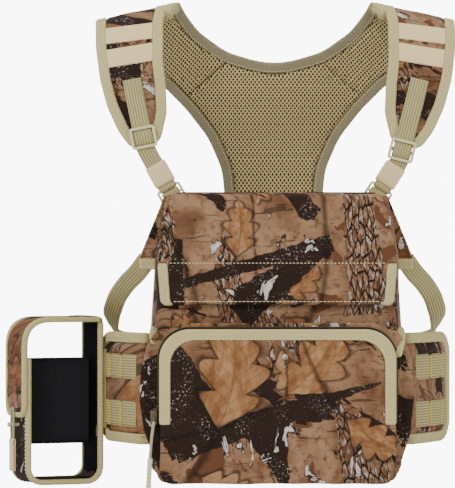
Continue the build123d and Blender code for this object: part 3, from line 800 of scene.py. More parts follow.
def beside(node, facing, distance, where=None, keep=0.35):
    """Open runs beside a node's rim, moved outward in its surface; where(point) says what to keep."""
    runs = []
    for line, outward in rim_loops(node, facing, keep):
        moved = line + outward * distance
        run = []
        for point in [*moved, moved[0]]:
            if where is None or where(point):
                run.append(point)
                continue
            if len(run) > 4:
                runs.append(run)
            run = []
        if len(run) > 4:
            runs.append(run)
    return runs


# ---- sweeps -------------------------------------------------------------------------
def tube_faces(rows, ring, closed=False):
    """Faces round rows of ring points each, with a cap on both ends unless the rows close."""
    faces = []
    for i in range(rows if closed else rows - 1):
        j = (i + 1) % rows
        for k in range(ring):
            m = (k + 1) % ring
            faces.append((i * ring + k, i * ring + m, j * ring + m, j * ring + k))
    if not closed:
        faces.append(tuple(range(ring))[::-1])
        faces.append(tuple((rows - 1) * ring + k for k in range(ring)))
    return faces


def swept(path, side_dirs, profile, closed=False):
    """Closed profile of (across, up) points swept along a path; side_dirs gives across at each point."""
    path = np.asarray(path, float)
    run = tangents(path, closed)
    across = np.broadcast_to(np.asarray(side_dirs, float), path.shape)
    across = unit(across - run * np.sum(across * run, axis=1, keepdims=True))
    up = np.cross(run, across)
    girth, along = distances(profile), distances(path)
    points, uvs = [], []
    for i in range(len(path)):
        for k, (a, b) in enumerate(profile):
            points.append(path[i] + across[i] * a + up[i] * b)
            uvs.append((girth[k], along[i]))
    return points, tube_faces(len(path), len(profile), closed), uvs


def sweep(name, path, side_dirs, profile, material, body, closed=False):
    return from_parts(name, [swept(path, side_dirs, profile, closed)], material, body)


def flat_profile(width, thick, rows=9):
    """Section of a flat strap with softly rounded edges."""
    top = []
    for share in np.linspace(-1, 1, rows):
        a = share * width / 2
        fall = max(0.0, abs(a) - (width - thick) / 2) / (thick / 2)
        top.append((a, max(thick / 2 * math.sqrt(max(0.0, 1 - fall**2)), 0.05)))
    return top + [(a, -b) for a, b in reversed(top)]


def circle_profile(radius, count=10):
    turns = np.linspace(0, 2 * math.pi, count, endpoint=False)
    return [(radius * math.cos(t), radius * math.sin(t)) for t in turns]


def tree_of(*pieces):
    """Tree over pieces for rays and nearest points, in mm."""
    points, faces = [], []
    for piece in pieces:
        start = len(points)
        points += [v.co / MM for v in piece.data.vertices]
        faces += [tuple(start + i for i in polygon.vertices) for polygon in piece.data.polygons]
    return BVHTree.FromPolygons(points, faces)


def cast_line(points_xz, tree, spacing=1.5):
    """Line drawn in the front view, laid on the first surface behind it."""
    landed = []
    for x, z in resample(points_xz, spacing):
        hit = tree.ray_cast(Vector((x, -400, z)), Vector((0, 1, 0)))
        if hit[0] is not None:
            landed.append(np.array(hit[0]))
    return landed


# share of a stitch's length, and of its radius there
STITCH_SHAPE = ((-0.5, 0.35), (-0.36, 1.0), (0.36, 1.0), (0.5, 0.35))
STITCH_SIDES = 5


def one_stitch(first, second, up, length, radius):
    along = unit(second - first)
    side = unit(np.cross(along, up))
    middle = (first + second) / 2 + up * radius * 0.3
    points = []
    for share, size in STITCH_SHAPE:
        for angle in np.arange(STITCH_SIDES) * 2 * math.pi / STITCH_SIDES:
            spoke = side * math.cos(angle) + up * math.sin(angle)
            points.append(middle + along * share * length + spoke * radius * size)
    return points, tube_faces(len(STITCH_SHAPE), STITCH_SIDES), None


def stitches(name, paths, tree, material, body, length=2.5, gap=1.3, radius=0.42, reach=9.0):
    """Rows of thread, laid where each path comes nearest to the surface in the tree."""
    parts = []
    for path in paths:
        run = resample(path, (length + gap) / 2)
        landed = [tree.find_nearest(Vector(place), reach)[:2] for place in run]
        for (first, up), (second, _) in zip(landed[0::2], landed[1::2]):
            if first is None or second is None:
                continue
            if 0.3 < (second - first).length < 2 * (length + gap):
                parts.append(one_stitch(np.array(first), np.array(second), np.array(up), length, radius))
    return from_parts(name, parts, material, body)


def bar_tack(path, across, width, turns):
    """Zigzag of thread along a line, from side to side."""
    line = resample(path, math.dist(path[0], path[-1]) / turns)
    across = unit(across) * width / 2
    zigzag = [point + across * (1 if index % 2 else -1) for index, point in enumerate(line)]
    return swept(resample(zigzag, 0.9), np.cross(across, line[-1] - line[0]), circle_profile(0.42, 5))


# ---- worn curve of the pads ---------------------------------------------------------
# Y and Z of the middle of the pads, from the front tip over the shoulder and down the back
WORN = [(7, 160), (15, 275), (42, 323), (80, 323), (122, 268), (160, 185), (170, 105), (170, -40)]
WORN_RADII = [0, 80, 30, 35, 150, 150, 150, 0]
SHOULDER_INNER = 74.0
SHOULDER_SLOPE = 0.22
WORN_LINE = rounded(WORN, WORN_RADII, closed=False, spacing=1.0)


def set_uv(piece, us, vs):
    """UV map in mm from one u and one v per vertex."""
    layer = piece.data.uv_layers.get("UVMap") or piece.data.uv_layers.new(name="UVMap")
    for loop in piece.data.loops:
        layer.data[loop.index].uv = (us[loop.vertex_index], float(vs[loop.vertex_index]))


def worn_uv(piece):
    """UV map in mm: across the body, and along the worn curve."""
    co = vertices_of(piece.data) / MM
    lifted = co[:, 2] + SHOULDER_SLOPE * np.maximum(np.abs(co[:, 0]) - SHOULDER_INNER, 0)
    away = (WORN_LINE[:, None, 0] - co[None, :, 1]) ** 2 + (WORN_LINE[:, None, 1] - lifted[None, :]) ** 2
    nearest = np.argmin(away, axis=0)
    set_uv(piece, co[:, 0], nearest)


# ---- zip pull -----------------------------------------------------------------------
PULL_ROUTE = [(-0.1153, -0.1096, -0.0805), (-0.1180, -0.1102, -0.0965), (-0.1190, -0.1094, -0.1145)]
PULL_DIAMETER = 0.0028
GRIP_RADIUS = 2.5
GRIP_SIDES = 14
GRIP_GROOVES = 6
GROOVE_START = 5.0
GROOVE_PITCH = 3.6


def make_zip_pull():
    data = bpy.data.curves.new("zip_pull_line", "CURVE")
    data.dimensions = "3D"
    data.bevel_depth = PULL_DIAMETER / 2
    data.bevel_resolution = 3
    data.resolution_u = 16
    data.use_fill_caps = True
    spline = data.splines.new("NURBS")
    spline.points.add(len(PULL_ROUTE) - 1)
    for point, place in zip(spline.points, PULL_ROUTE):
        point.co = (*place, 1)
    spline.order_u = 3
    spline.use_endpoint_u = True
    data.materials.append(MATERIALS["cord"])
    cord = bpy.data.objects.new("zip_pull_line", data)
    bpy.context.scene.collection.objects.link(cord)
    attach(cord, "zip_pull")
    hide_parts("zip_pull_cord")

    # grip: rings of (distance along it, share of its radius), with grooves between its ends
    end = np.array(PULL_ROUTE[-1]) / MM
    hang = unit(end - np.array(PULL_ROUTE[-2]) / MM)
    shape = [(0, 0.6), (0, 0.8), (0.6, 1.0), (3.0, 1.0)]
    for groove in range(GRIP_GROOVES):
        start = GROOVE_START + groove * GROOVE_PITCH
        shape += [(start, 1.0), (start + 0.5, 0.86), (start + 1.3, 0.86), (start + 1.8, 1.0)]
    shape += [(29.0, 1.0), (30.4, 0.9), (31.0, 0.55)]
    side = unit(np.cross(hang, (0, 1, 0)))
    front = np.cross(side, hang)
    points = []
    for along, share in shape:
        for angle in np.linspace(0, 2 * math.pi, GRIP_SIDES, endpoint=False):
            spoke = side * math.cos(angle) + front * math.sin(angle)
            points.append(end + hang * along + spoke * share * GRIP_RADIUS)
    tube = (points, tube_faces(len(shape), GRIP_SIDES), None)
    grip = from_parts("zip_pull_handle", [tube], "grip", "zip_pull")
    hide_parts("zip_pull_grip")


# ---- pads and yoke ------------------------------------------------------------------
PAD_SEAM = ((112, 246.5), (164, 243.5))     # X and Z of the seam that the webbing comes out of
SEAM_THREAD_RISE = 2.8
PAD_ROWS = (1.7, 8.0)                       # stitch rows, mm out from the pad's rim


def make_shoulder_pad(side, sign):
    pad = soft_copy("shoulder_cushion_" + side, ["shoulder_pad_" + side], 2.4, 3, "camo")
    inflate(pad, 3.0, 2.0)
    wrinkle(pad, 0.8, 26, 3 + sign)
    tape = soft_copy("shoulder_tape_" + side, ["shoulder_binding_" + side], 1.4, 5, "binding", 0.6)
    bands = soft_copy("shoulder_elastic_" + side, ["shoulder_bands_" + side], 0.7, 3, "tan", 0.45)
    worn_uv(bands)
    rows = []
    for distance in PAD_ROWS:
        rows += beside("shoulder_pad_" + side, (0, -0.75, 0.65), distance, keep=0.3)
    stitches("shoulder_stitching_" + side, rows, tree_of(tape), "thread", "pack", radius=0.34)
    tree = tree_of(pad)
    seam = np.array(cast_line([(x * sign, z) for x, z in PAD_SEAM], tree)) + (0, -0.5, 0)
    fold = sweep("shoulder_seam_" + side, seam, (0, 0.2, 1), flat_profile(3.4, 1.9), "camo", "pack")
    rows = [cast_line([(x * sign, z + SEAM_THREAD_RISE) for x, z in PAD_SEAM], tree)]
    stitches("shoulder_seam_thread_" + side, rows, tree, "dark_thread", "pack")


def crest_height(y):
    """Height of the pads' middle over the shoulder at a depth, near the crest."""
    top = [p for p in WORN_LINE if p[1] > 300]
    return float(np.interp(y, [p[0] for p in top], [p[1] for p in top]))


def pad_edge_profile():
    """Section of the edge tape wrapped over the pad's rim."""
    corners = [(-4.9, -5.1), (4.9, -5.1), (4.9, 5.1), (-4.9, 5.1)]
    return [tuple(p) for p in rounded([(*c, 0) for c in corners], [3] * 4, True, 1.6)[:, :2]]


YOKE_SEAMS = (((47, 268), (86, 235)), ((-47, 268), (-86, 235)))     # X and Z of each end
SEAM_DENT = 1.6
SEAM_PUFF = 1.0
CREST_RUN = ((105.0, 40), (104.5, 48), (102.0, 56), (99.0, 64), (97.0, 72))     # X and Y
BASE_TACKS_X = (-40, -14, 14, 40)


def make_yoke():
    def press(point, normal):
        """Groove along each diagonal seam, with short wrinkles beside it."""
        x, _, z = point
        depth = 0.0
        for (x0, z0), (x1, z1) in YOKE_SEAMS:
            along, across = unit((x1 - x0, z1 - z0)), unit((z1 - z0, x0 - x1))
            offset = np.array((x - x0, z - z0))
            away, share = offset @ across, offset @ along
            fade = min(share + 1, math.dist((x0, z0), (x1, z1)) + 1 - share) / 6
            if fade > 0 and normal[1] < 0:
                dent = SEAM_DENT * bell(away, 1.6)
                puff = SEAM_PUFF * bell(abs(away) - 4.5, 3.0) * (1 + math.sin(share * 0.55))
                depth += (puff - dent) * min(fade, 1.0)
        return depth

    yoke = soft_copy("yoke_mesh_cushion", ["yoke_pad"], 2.8, 3, "mesh")
    inflate(yoke, 3.0, 1.4)
    displace(yoke, press)
    worn_uv(yoke)
    tree = tree_of(yoke)
    bridges = []
    for _, sign in SIDES:
        run = []
        for x, y in CREST_RUN:
            z = crest_height(y) - SHOULDER_SLOPE * (x - SHOULDER_INNER)
            run.append((x * sign, y, z))
        bridges.append(swept(smooth_path(run, 1.5), (1, 0, SHOULDER_SLOPE * -sign), pad_edge_profile()))
    bridge = from_parts("crest_tapes", bridges, "binding", "pack")
    lines = []
    for seam in YOKE_SEAMS:
        lines.append(swept(cast_line(seam, tree), (1, 0, 0), circle_profile(0.45, 6)))
    from_parts("yoke_seam_threads", lines, "dark_thread", "pack")
    tape = soft_copy("yoke_tape", ["yoke_binding"], 1.6, 5, "yoke_binding", 0.6)
    rows = beside("yoke_pad", (0, -1, -0.3), 1.7) + beside("yoke_pad", (0, 1, 0.5), 1.7)
    stitches("yoke_stitching", rows, tree_of(tape), "thread", "pack", radius=0.3)
    base = soft_copy("yoke_base_strap", ["yoke_base_webbing"], 0.8, 1, "webbing")
    worn_uv(base)
    tacks = []
    for x in BASE_TACKS_X:
        tacks.append(bar_tack([np.array((x, 176.6, -27)), np.array((x, 176.6, -11))], (1, 0, 0), 2.0, 14))
    from_parts("yoke_base_tacks", tacks, "thread", "pack")


# ---- shoulder webbing and buckles ---------------------------------------------------
WEB_START = (139.5, 7.0, 243.0)
BENDS = {"left": (126.0, 0.6, 178.0), "right": (119.0, 0.2, 165.5)}
LOCK = {"left": (100.5, 0.2, 132.5), "right": (98.0, 0.0, 132.5)}
SHOULDER_WEB = 18.0
WEB_THICK = 1.6
GLIDE_RISE = 10.0
KEEPER_RISE = 22.8
KEEPER_LENGTH = 22.0
KEEPER_HALF = (10.2, 1.75)
# Y and Z on the strap's own frame
UPPER_FOLD = ((-2.3, 8.6), (-2.2, 6.9), (-1.0, 5.9), (1.0, 5.9), (2.2, 6.9), (2.3, 8.6), (1.2, 11.4))
ANCHOR_FOLD = (
    (-0.9, -14.5), (-2.4, -9.5), (-2.7, -5.0), (-2.6, 1.0), (-1.7, 3.5), (0, 4.4),
    (1.7, 3.5), (2.6, 1.0), (2.7, -5.0), (2.4, -9.5), (0.9, -14.5),
)
GLIDE_ARCH = ((0.2, -7.2), (-1.5, -6.2), (-2.5, -3.4), (-2.7, 0), (-2.5, 3.4), (-1.5, 6.2), (0.2, 7.2))


class Place:
    """Frame on a shoulder strap: x across it, y to the wearer, z up it; the left is mirrored."""

    def __init__(self, start, end, rise, sign):
        start, end = np.array(start), np.array(end)
        self.z = unit(end - start)
        self.x = unit((self.z[2], 0, -self.z[0]))
        self.y = np.cross(self.z, self.x)
        self.origin = start + self.z * rise
        self.flip = np.array((sign, 1, 1))

    def at(self, x, y, z):
        return (self.origin + self.x * x + self.y * y + self.z * z) * self.flip

    def across(self):
        return self.x * self.flip


def make_shoulder_straps():
    folds = []
    for side, sign in SIDES:
        bend, lock = BENDS[side], LOCK[side]
        low = Place(lock, bend, 0, sign)
        high = Place(bend, WEB_START, 0, sign)
        flip = np.array((sign, 1, 1))
        length = math.dist(bend, WEB_START)
        run = [np.array(WEB_START) * flip + (0, 0, 1.5)]
        run += [high.at(0, 0, length * 0.7), high.at(0, 0, length * 0.3)]
        run += [np.array(bend) * flip, low.at(0, 0, 16), low.at(0, -0.4, 11.5)]
        # the fold round the ladder lock's upper bar
        run += [low.at(0, y, z) for y, z in UPPER_FOLD]
        path = smooth_path(run, 1.0)
        profile = flat_profile(SHOULDER_WEB, WEB_THICK)
        above = np.clip((path[:, 2:] - bend[2]) / 8 + 0.5, 0, 1)
        side_dirs = low.across() * (1 - above) + high.across() * above
        strap = sweep("shoulder_strap_" + side, path, side_dirs, profile, "webbing", "pack")
        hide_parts("shoulder_webbing_" + side)
        # the anchor loop comes up round the middle bar
        fold = [low.at(0, y, z) for y, z in ANCHOR_FOLD]
        folds.append(swept(smooth_path(fold, 1.0), low.across(), profile))
        make_slides(side, Place(bend, WEB_START, GLIDE_RISE, sign), Place(lock, bend, KEEPER_RISE, sign))
    loops = from_parts("anchor_folds", folds, "webbing", "pack")
    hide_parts("anchor_loops")


def make_slides(side, glide, keep):
    """Strap fold inside the slide adjuster, and the elastic sleeve."""
    arch = smooth_path([glide.at(0, y, z) for y, z in GLIDE_ARCH], 0.8)
    profile = flat_profile(SHOULDER_WEB, 1.4)
    fold = sweep("glide_fold_" + side, arch, glide.across(), profile, "webbing", "tri_glide_" + side)
    half_x, half_y = KEEPER_HALF
    corners = [(-half_x, -half_y), (half_x, -half_y), (half_x, half_y), (-half_x, half_y)]
    ring = [keep.at(x, y, 0) for x, y in rounded(corners, [1.3] * 4, True, 0.8)]
    up = keep.z * keep.flip
    wall = flat_profile(KEEPER_LENGTH, 0.9)
    sleeve = sweep("keeper_sleeve_" + side, ring, up, wall, "tan", "keeper_" + side, True)
    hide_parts("keeper_" + side)


# ---- side straps --------------------------------------------------------------------
SIDE_ROUTE = [
    ((124.3, -6.8, 70.0), (14.0, 0, 12.0)),
    ((134.3, 8.0, 57.1), (14.2, 0, 12.5)),
    ((143.8, 30.0, 47.9), (13.9, 0, 12.9)),
    ((151.2, 50.0, 38.9), (15.3, 0, 11.2)),
    ((156.1, 65.0, 31.1), (16.9, 0, 8.6)),
    ((159.7, 78.0, 22.1), (17.4, 1.0, 7.4)),
    ((161.9, 88.0, 15.2), (16.4, 2.4, 9.2)),
    ((162.0, 100.0, 6.0), (13.6, 4.4, 12.4)),
    ((159.0, 116.0, -4.0), (8.4, 6.0, 16.0)),
    ((149.0, 138.0, -12.0), (3.2, 5.6, 17.9)),
    ((130.0, 157.0, -16.0), (0, 3.0, 18.6)),
    ((102.0, 169.0, -18.0), (0, 1.2, 19.0)),
    ((62.0, 174.6, -19.0), (0, 0, 19.0)),
]
SIDE_WEB = 19.0
EAR_TAPE_ROWS_Z = (69, 62.5)


def make_side_straps():
    for side, sign in SIDES:
        flip = np.array((sign, 1, 1, sign, 1, 1))
        both = smooth_path([np.array(centre + width) * flip for centre, width in SIDE_ROUTE], 1.6)
        centres, widths = both[:, :3], both[:, 3:]
        profile = flat_profile(SIDE_WEB, WEB_THICK)
        strap = sweep("side_webbing_" + side, centres, widths, profile, "webbing", "pack")
        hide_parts("side_strap_" + side)
        tab = soft_copy("side_ear_" + side, ["side_tab_" + side], 1.1, 3, "camo", 0.3)
        rows = beside("side_tab_" + side, (0, -1, 0), -2.2, lambda p: p[2] < 120)
        stitches("side_ear_stitching_" + side, rows, tree_of(tab), "dark_thread", "pack")
    bands = soft_copy("side_ear_tapes", ["side_tab_bands"], 0.9, 3, "binding", 0.5)
    rows = []
    for _, sign in SIDES:
        rows += [[(sign * 113, -14, z), (sign * 130, -14, z)] for z in EAR_TAPE_ROWS_Z]
    stitches("side_ear_tape_stitching", rows, tree_of(bands), "thread", "pack")


# ---- compartment and lid ------------------------------------------------------------
LID_SEAM_Z = 67.0
LID_SEAM_HALF = 104
SEAM_ROW_HALF = 101
HEM_ROW_HALF = 97
HEM_ROW_RISE = 3.2
LID_SETTLE = (118, -3.0)         # where the top starts to sink, and how far its end goes
LID_HINGE = ((-26, 133.4), (-15, 133.6), (-9.0, 134.6), (-6.4, 133.2), (-5.6, 131.0), (-5.4, 128.0))
LID_HEM_Z = 27.7
REAR_HEM_ROWS_Z = (117, 128)
PACK_TOP = 135.5


def settle(piece, start, end, drop):
    """Shift a piece's points up or down, growing smoothly from one height to another."""
    co = vertices_of(piece.data) / MM
    share = np.clip((co[:, 2] - start) / (end - start), 0, 1)
    co[:, 2] += share**2 * (3 - 2 * share) * drop
    set_vertices(piece.data, co * MM)


def make_body():
    shell = soft_copy("main_bag", ["main_shell"], 2.2, 5, "camo")
    wrinkle(shell, 1.5, 40, 5)
    lining = soft_copy("bag_stiffener", ["base_stiffener"], 1.2, 1, "board")
    back = soft_copy("back_cushion", ["back_panel"], 3.0, 3, "mesh")
    co = vertices_of(back.data) / MM
    set_uv(back, co[:, 0], co[:, 2])
    hem = soft_copy("rear_hem_tape", ["rear_top_binding"], 1.3, 3, "binding", 0.2)
    rows = [[(x, -2, z) for x in (-100, 100)] for z in REAR_HEM_ROWS_Z]
    stitches("rear_hem_stitching", rows, tree_of(hem), "thread", "pack")
    edges = []
    for loop, outward in rim_loops("back_panel", (0, 1, 0), 0.9):
        path = loop + (0, -3.6, 0) + outward * 0.2
        edges.append(swept(path, (0, 1, 0), flat_profile(9.0, 1.9), closed=True))
    tape = from_parts("back_edge_tape", edges, "binding", "pack")


def make_lid():
    lid = soft_copy("lid_cover", ["lid_panel"], 1.7, 6, "camo", 0.2)

    def shape(point, normal):
        """Soft pillow between the seams, pinched at the cross seam and thicker at the hem."""
        x, _, z = point
        if normal[1] > -0.5:
            return 0.0
        pinch = bell(z - LID_SEAM_Z, 1.5) if abs(x) < LID_SEAM_HALF else 0.0
        hem = 0.9 * bell(z - LID_HEM_Z - 2.2, 2.0) - 0.7 * bell(z - LID_HEM_Z - 5.6, 1.0)
        return 0.5 - pinch + hem

    displace(lid, shape)
    wrinkle(lid, 1.1, 38, 12)
    settle(lid, LID_SETTLE[0], PACK_TOP, LID_SETTLE[1])
    tape = soft_copy("lid_side_tape", ["lid_binding"], 1.1, 4, "binding", 0.9)
    tree = tree_of(lid)
    seam = cast_line([(x, LID_SEAM_Z) for x in (-SEAM_ROW_HALF, SEAM_ROW_HALF)], tree)
    hem = cast_line([(x, LID_HEM_Z + HEM_ROW_RISE) for x in (-HEM_ROW_HALF, HEM_ROW_HALF)], tree)
    stitches("lid_seam_thread", [seam], tree, "thread", "lid", 2.2, 1.3, 0.36)
    stitches("lid_hem_thread", [hem], tree, "thread", "lid", 2.8, 1.0, 0.4)
    rows = beside("lid_panel", (0, -1, 0), 1.3, lambda p: abs(p[0]) > 96 and LID_HEM_Z + 2 < p[2] < 64)
    stitches("lid_tape_thread", rows, tree_of(tape), "thread", "lid")
    # fabric hinge over the lid's rear edge
    line = smooth_path([(0, y, z) for y, z in LID_HINGE], 0.8)
    hinge = sweep("lid_hinge_fabric", line, (1, 0, 0), flat_profile(190, 1.0, 25), "camo", None)
    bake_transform(hinge)
    rows = [[(x, -23.5, 140) for x in (-93, 93)]]
    stitches("lid_hinge_thread", rows, tree_of(hinge), "dark_thread", "lid")


# ---- front pocket -------------------------------------------------------------------
PIPING_LOW = -83.0
POCKET_SETTLE_Z = -112
PUFF_HEIGHT = 2.6
PUFF_MIDDLE_Z = -64
PUFF_HALF = (100, 68)
CORNER_RUN = ((115.0, -62, 5), (116.6, -74, 3), (117.2, -84, -2), (115.4, -94, -10), (112.4, -103, -20))
SLIDER_SIDE_END = (115.6, -92.5, -8.5)     # on the left the tape stops short of the slider's travel


def make_pocket():
    gusset = soft_copy("pocket_side_wall", ["pocket_gusset", "pocket_facing"], 1.6, 5, "camo")
    wrinkle(gusset, 2.0, 22, 9, (1, 1, 0.55))
    nodes = ["pocket_front", "pocket_lower_front"]
    front = soft_copy("pocket_face", nodes, 1.7, 5, "camo", 0.1, ride=False)

    def puff(point, normal):
        """Filled shape of the front, highest at its middle."""
        x, _, z = point
        if normal[1] > -0.4:
            return 0.0
        half_x, half_z = PUFF_HALF
        across = max(0.0, 1 - (x / half_x) ** 2) ** 0.6
        upward = max(0.0, 1 - ((z - PUFF_MIDDLE_Z) / half_z) ** 2) ** 0.6
        return PUFF_HEIGHT * across * upward

    displace(front, puff)
    wrinkle(front, 1.2, 34, 2)
    settle(front, POCKET_SETTLE_Z, -PACK_TOP, -3.2)
    settle(gusset, POCKET_SETTLE_Z, -PACK_TOP, -3.0)
    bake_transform(front)
    piping = soft_copy("pocket_edge_tape", ["pocket_piping"], 1.2, 6, "binding", 0.6)
    inner = beside("pocket_front", (0, -1, 0), 1.4, lambda p: p[2] > PIPING_LOW + 1)
    stitches("pocket_edge_thread", inner, tree_of(piping), "thread", "pocket_door")
    soft_copy("zipper_cloth_door", ["zipper_tape_door"], 0.8, 1, "zipper")
    soft_copy("zipper_cloth_gusset", ["zipper_tape_gusset"], 0.8, 1, "camo")
    teeth = []
    for line, outward in rim_loops("zipper_tape_gusset", (0, -1, 0), 0.8):
        inside = line + outward * -1.0
        near = [p + (0, -0.9, 0) for p, o in zip(inside, outward) if o @ (p[0], 0, p[2] + 60) < 0]
        if len(near) > 20:
            # start after the gap at the bottom, so that the coil is one open run
            start = next((i for i in range(len(near)) if math.dist(near[i], near[i - 1]) > 6), 0)
            teeth.append(swept(near[start:] + near[:start], (0, 1, 0), circle_profile(1.1, 8)))
    coil = from_parts("zipper_coil_gusset", teeth, "coil", "pack")
    corners = []
    for _, sign in SIDES:
        run = CORNER_RUN if sign > 0 else CORNER_RUN[:3] + (SLIDER_SIDE_END,)
        path = smooth_path([(sign * x, y, z) for x, y, z in run], 1.5)
        corners.append(swept(path, (sign * 0.75, 0.1, 0.65), flat_profile(7.5, 2.0)))
    corner_tape = from_parts("gusset_corner_tapes", corners, "binding", "pack")


# ---- wings --------------------------------------------------------------------------
WING_POINTS = ((126.6, -4.0), (149.5, 35.6), (168.0, 78.0))
WING_HALF = 4.0
MOLLE_ROWS = ((-46.0, -22.0), (-92.0, -67.0))
MOLLE_REACH = (-1.0, 62.0)
MOLLE_POINTS = 60
END_TAB_RUN = ((167.6, 74, -53.5), (169.2, 79, -53.5), (169.7, 84, -53.6), (169.2, 89.5, -53.8))
TACK_SHARES = (0.42, 0.80)


def wing_arc():
    """Centre and radius of the arc that the wings follow in plan."""
    (ax, ay), (bx, by), (cx, cy) = WING_POINTS
    turn = 2 * (ax * (by - cy) + bx * (cy - ay) + cx * (ay - by))
    a, b, c = ax**2 + ay**2, bx**2 + by**2, cx**2 + cy**2
    x = (a * (by - cy) + b * (cy - ay) + c * (ay - by)) / turn
    y = (a * (cx - bx) + b * (ax - cx) + c * (bx - ax)) / turn
    return (x, y), math.dist((x, y), WING_POINTS[0])


def make_wing(side, sign):
    body = "wing_" + side
    pad = soft_copy("wing_cushion_" + side, ["wing_pad_" + side], 2.2, 3, "camo")
    inflate(pad, 3.0, 1.5)
    tape = soft_copy("wing_tape_" + side, ["wing_binding_" + side], 1.4, 5, "binding", 0.5)
    node = "wing_pad_" + side
    rows = beside(node, (sign * 0.85, -0.5, 0), 1.6, lambda p: p[1] > 3)
    rows += beside(node, (-sign * 0.85, 0.5, 0), 1.6, lambda p: p[1] > 6)
    stitches("wing_stitching_" + side, rows, tree_of(tape), "thread", body)
    (cx, cy), radius = wing_arc()
    straps, tacks = [], []
    for low, high in MOLLE_ROWS:
        middle = (low + high) / 2
        path = []
        for y in np.linspace(*MOLLE_REACH, MOLLE_POINTS):
            share = (y - MOLLE_REACH[0]) / (MOLLE_REACH[1] - MOLLE_REACH[0])
            sewn = min(abs(share - at) for at in (0.0, *TACK_SHARES, 1.0))
            lift = WING_HALF + 1.0 + 1.3 * (1 - bell(sewn, 0.09))
            x = cx + math.sqrt((radius + lift) ** 2 - (y - cy) ** 2) * (1 if cx < 140 else -1)
            path.append((x * sign, y, middle))
        straps.append(swept(path, (0, 0, 1), flat_profile(high - low, WEB_THICK)))
        for at in TACK_SHARES:
            x, y, _ = path[round(at * (MOLLE_POINTS - 1))]
            out = unit((sign * 0.88, -0.47, 0)) * 1.1
            line = [np.array((x, y, low + 1)) + out, np.array((x, y, high - 1)) + out]
            tacks.append(bar_tack(line, (sign * 0.47, 0.88, 0), 3.0, 18))
    rows = from_parts("molle_webbing_" + side, straps, "webbing", body)
    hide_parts("molle_rows_" + side)
    from_parts("molle_tacks_" + side, tacks, "yellow", body)


def make_wings():
    path = smooth_path(END_TAB_RUN, 1.0)
    tab = sweep("wing_end_loop", path, (0, 0, 1), flat_profile(33, 1.8), "dark_webbing", "wing_right")
    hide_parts("wing_end_tab")
    for side, sign in SIDES:
        make_wing(side, sign)


# ---- rangefinder pouch --------------------------------------------------------------
POUCH_YAW = math.radians(21)
POUCH_CORNER = np.array((-241.8, 28.6, -150.0))
POUCH_WIDTH, POUCH_DEPTH, POUCH_HEIGHT = 78.0, 54.0, 163.0
WALL = 4.0
LEFT_TOP = 123.0
FLAP_END = 68.0
LID_OUT = -4.6
LOOP_X = -6.9
BAND_LOW, BAND_Y = 38, 30.8
TAB_ROWS_Z = (34, 15)
FLAP_TAPE_TURN = 130           # above this height the tape lies over the flap's top
# X and Z on the pouch's own frame
POUCH_HINGE = ((58, 163.7), (70, 164.0), (76.2, 163.2), (78.9, 160.2), (79.2, 154), (79.0, 147))
TAB_FOLD = ((1.0, 12.5), (1.0, 20), (1.0, 30), (1.0, 37), (1.3, 40.8), (0.9, 43.6))
BUNGEE_LOOP = ((22.8, 42), (31.2, 42), (31.2, 74), (22.8, 74))     # Y and Z
# section of the flap's edge tape: across the depth, and over the wall
TAPE_SECTION = (
    (-2.7, -1.6), (-1.98, -2.6), (1.98, -2.6), (2.7, -1.6),
    (2.7, 1.6), (1.98, 2.6), (-1.98, 2.6), (-2.7, 1.6),
)


def pouch_at(x, y, z):
    cosine, sine = math.cos(POUCH_YAW), math.sin(POUCH_YAW)
    return POUCH_CORNER + (x * cosine - y * sine, x * sine + y * cosine, z)


def pouch_run(points, spacing=1.5):
    return [pouch_at(*p) for p in resample(points, spacing)]


def ring_line(inset, y):
    """Left wall, floor and right wall of the pouch, seen from its open face."""
    far = POUCH_WIDTH - inset
    corners = [(inset, LEFT_TOP - 1), (inset, inset), (far, inset), (far, POUCH_HEIGHT - WALL - 1)]
    line = rounded(corners, [0, 16 - inset, 16 - inset, 0], False, 1.5)
    return [(x, y, z) for x, z in line]


def lid_line(inset, y, right):
    """Top and left flap of the pouch lid, seen from the open face."""
    left, top = LID_OUT + inset, POUCH_HEIGHT - inset
    corners = [(right, top), (left, top), (left, FLAP_END + 24)]
    line = rounded(corners, [0, 28 - inset, 0], False, 1.5)
    return [(x, y, z) for x, z in line]


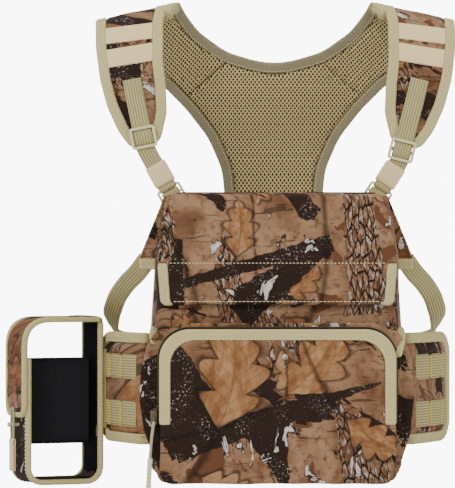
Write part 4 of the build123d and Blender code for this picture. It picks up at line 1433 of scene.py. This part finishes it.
def make_pouch():
    shell = soft_copy("pouch_body", ["pouch_shell"], 1.4, 3, "camo")
    wrinkle(shell, 0.9, 22, 21)
    tape = soft_copy("pouch_edge_tape", ["pouch_shell_binding"], 1.1, 4, "binding", 0.7)
    places = ((-1, 4.4), (-1, POUCH_DEPTH - 4.4), (2, -1))
    rows = [pouch_run(ring_line(inset, y)) for inset, y in places]
    stitches("pouch_edge_thread", rows, tree_of(tape), "thread", "wing_left")
    depth = unit(pouch_at(0, 1, 0) - pouch_at(0, 0, 0))
    middle = POUCH_DEPTH / 2
    lining = [swept(pouch_run(ring_line(WALL + 0.3, middle)), depth, flat_profile(43, 0.9, 13))]
    liner = from_parts("pouch_lining", lining, "black", "wing_left")

    lid = soft_copy("pouch_flap", ["pouch_lid"], 1.3, 4, "camo")
    wrinkle(lid, 0.8, 20, 23)
    inside = swept(pouch_run(lid_line(WALL + 0.2, middle, 70)), depth, flat_profile(47, 0.8, 13))
    flap_lining = from_parts("pouch_flap_lining", [inside], "black", "pouch_lid")
    # one tape folded round the flap's whole edge
    half = WALL / 2
    front = lid_line(half, 0.6, 75)
    back = lid_line(half, POUCH_DEPTH - 0.6, 75)[::-1]
    x = LID_OUT + half
    near, far, top = 0.6, POUCH_DEPTH - 0.6, FLAP_END + 23
    low = [(x, near, top), (x, near, FLAP_END), (x, far, FLAP_END), (x, far, top)]
    end = [tuple(p) for p in rounded(low, [0, 24, 24, 0], False, 1.5)]
    route = resample(front + end[1:-1] + back, 1.4)
    place = np.array([pouch_at(*p) for p in route])
    middle_of = np.array([
        pouch_at(30 if z > FLAP_TAPE_TURN else 36, y, min(z, FLAP_TAPE_TURN)) for _, y, z in route
    ])
    side_dirs = np.cross(tangents(place), unit(middle_of - place))
    edge = sweep("pouch_flap_tape", place, side_dirs, TAPE_SECTION, "binding", "pouch_lid")

    bend = smooth_path([pouch_at(x, middle, z) for x, z in POUCH_HINGE], 0.8)
    hinge = sweep("pouch_hinge_fabric", bend, depth, flat_profile(44, 1.0, 11), "camo", None)
    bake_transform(hinge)

    inside = np.linspace(WALL - 0.5, POUCH_WIDTH - WALL + 0.5, 40)
    band = [pouch_at(x, BAND_Y, (BAND_LOW + LEFT_TOP) / 2) for x in inside]
    profile = flat_profile(LEFT_TOP - BAND_LOW, 1.6, 15)
    elastic = sweep("pouch_elastic", band, (0, 0, 1), profile, "black_elastic", "wing_left")
    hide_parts("pouch_elastic_band")

    path = [pouch_at(LOOP_X, y, z) for y, z in rounded(BUNGEE_LOOP, [4] * 4, True, 1.0)]
    across = pouch_at(1, 0, 0) - pouch_at(0, 0, 0)
    cord = sweep("pouch_bungee_cord", path, across, circle_profile(1.1, 10), "cord", "pouch_bungee", True)
    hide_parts("pouch_bungee_loop")
    fold = [(-x, z) for x, z in TAB_FOLD] + list(TAB_FOLD[::-1])
    path = smooth_path([pouch_at(LOOP_X + x, middle, z) for x, z in fold], 1.0)
    tab = sweep("pouch_tab_fold", path, depth, flat_profile(14, 1.4), "tan", "pouch_bungee")
    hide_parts("pouch_pull_tab")
    rows = [[pouch_at(LOOP_X - 4, y, z) for y in (middle - 6, middle + 6)] for z in TAB_ROWS_Z]
    stitches("pouch_tab_thread", rows, tree_of(tab), "thread", "pouch_bungee")


def make_carried():
    """CAD pieces that keep their own shape and get a better finish."""
    finishes = {
        "plastic": ["ladder_locks", "strap_adjusters", "tri_glide_left", "tri_glide_right", "pouch_hook"],
        "metal": ["zip_slider"],
        "steel": ["shell_magnets", "lid_magnets"],
        "binding": ["pouch_mount_strap"],
    }
    for material, nodes in finishes.items():
        for node in nodes:
            mesh = NODES[node].data
            mesh.materials.clear()
            mesh.materials.append(MATERIALS[material])


make_camera()
make_world()
make_materials()
make_zip_pull()
make_floor()
for light in LIGHTS:
    area_light(*light)
for side, sign in SIDES:
    make_shoulder_pad(side, sign)
make_yoke()
make_shoulder_straps()
make_side_straps()
make_body()
make_lid()
make_pocket()
make_wings()
make_pouch()
make_carried()
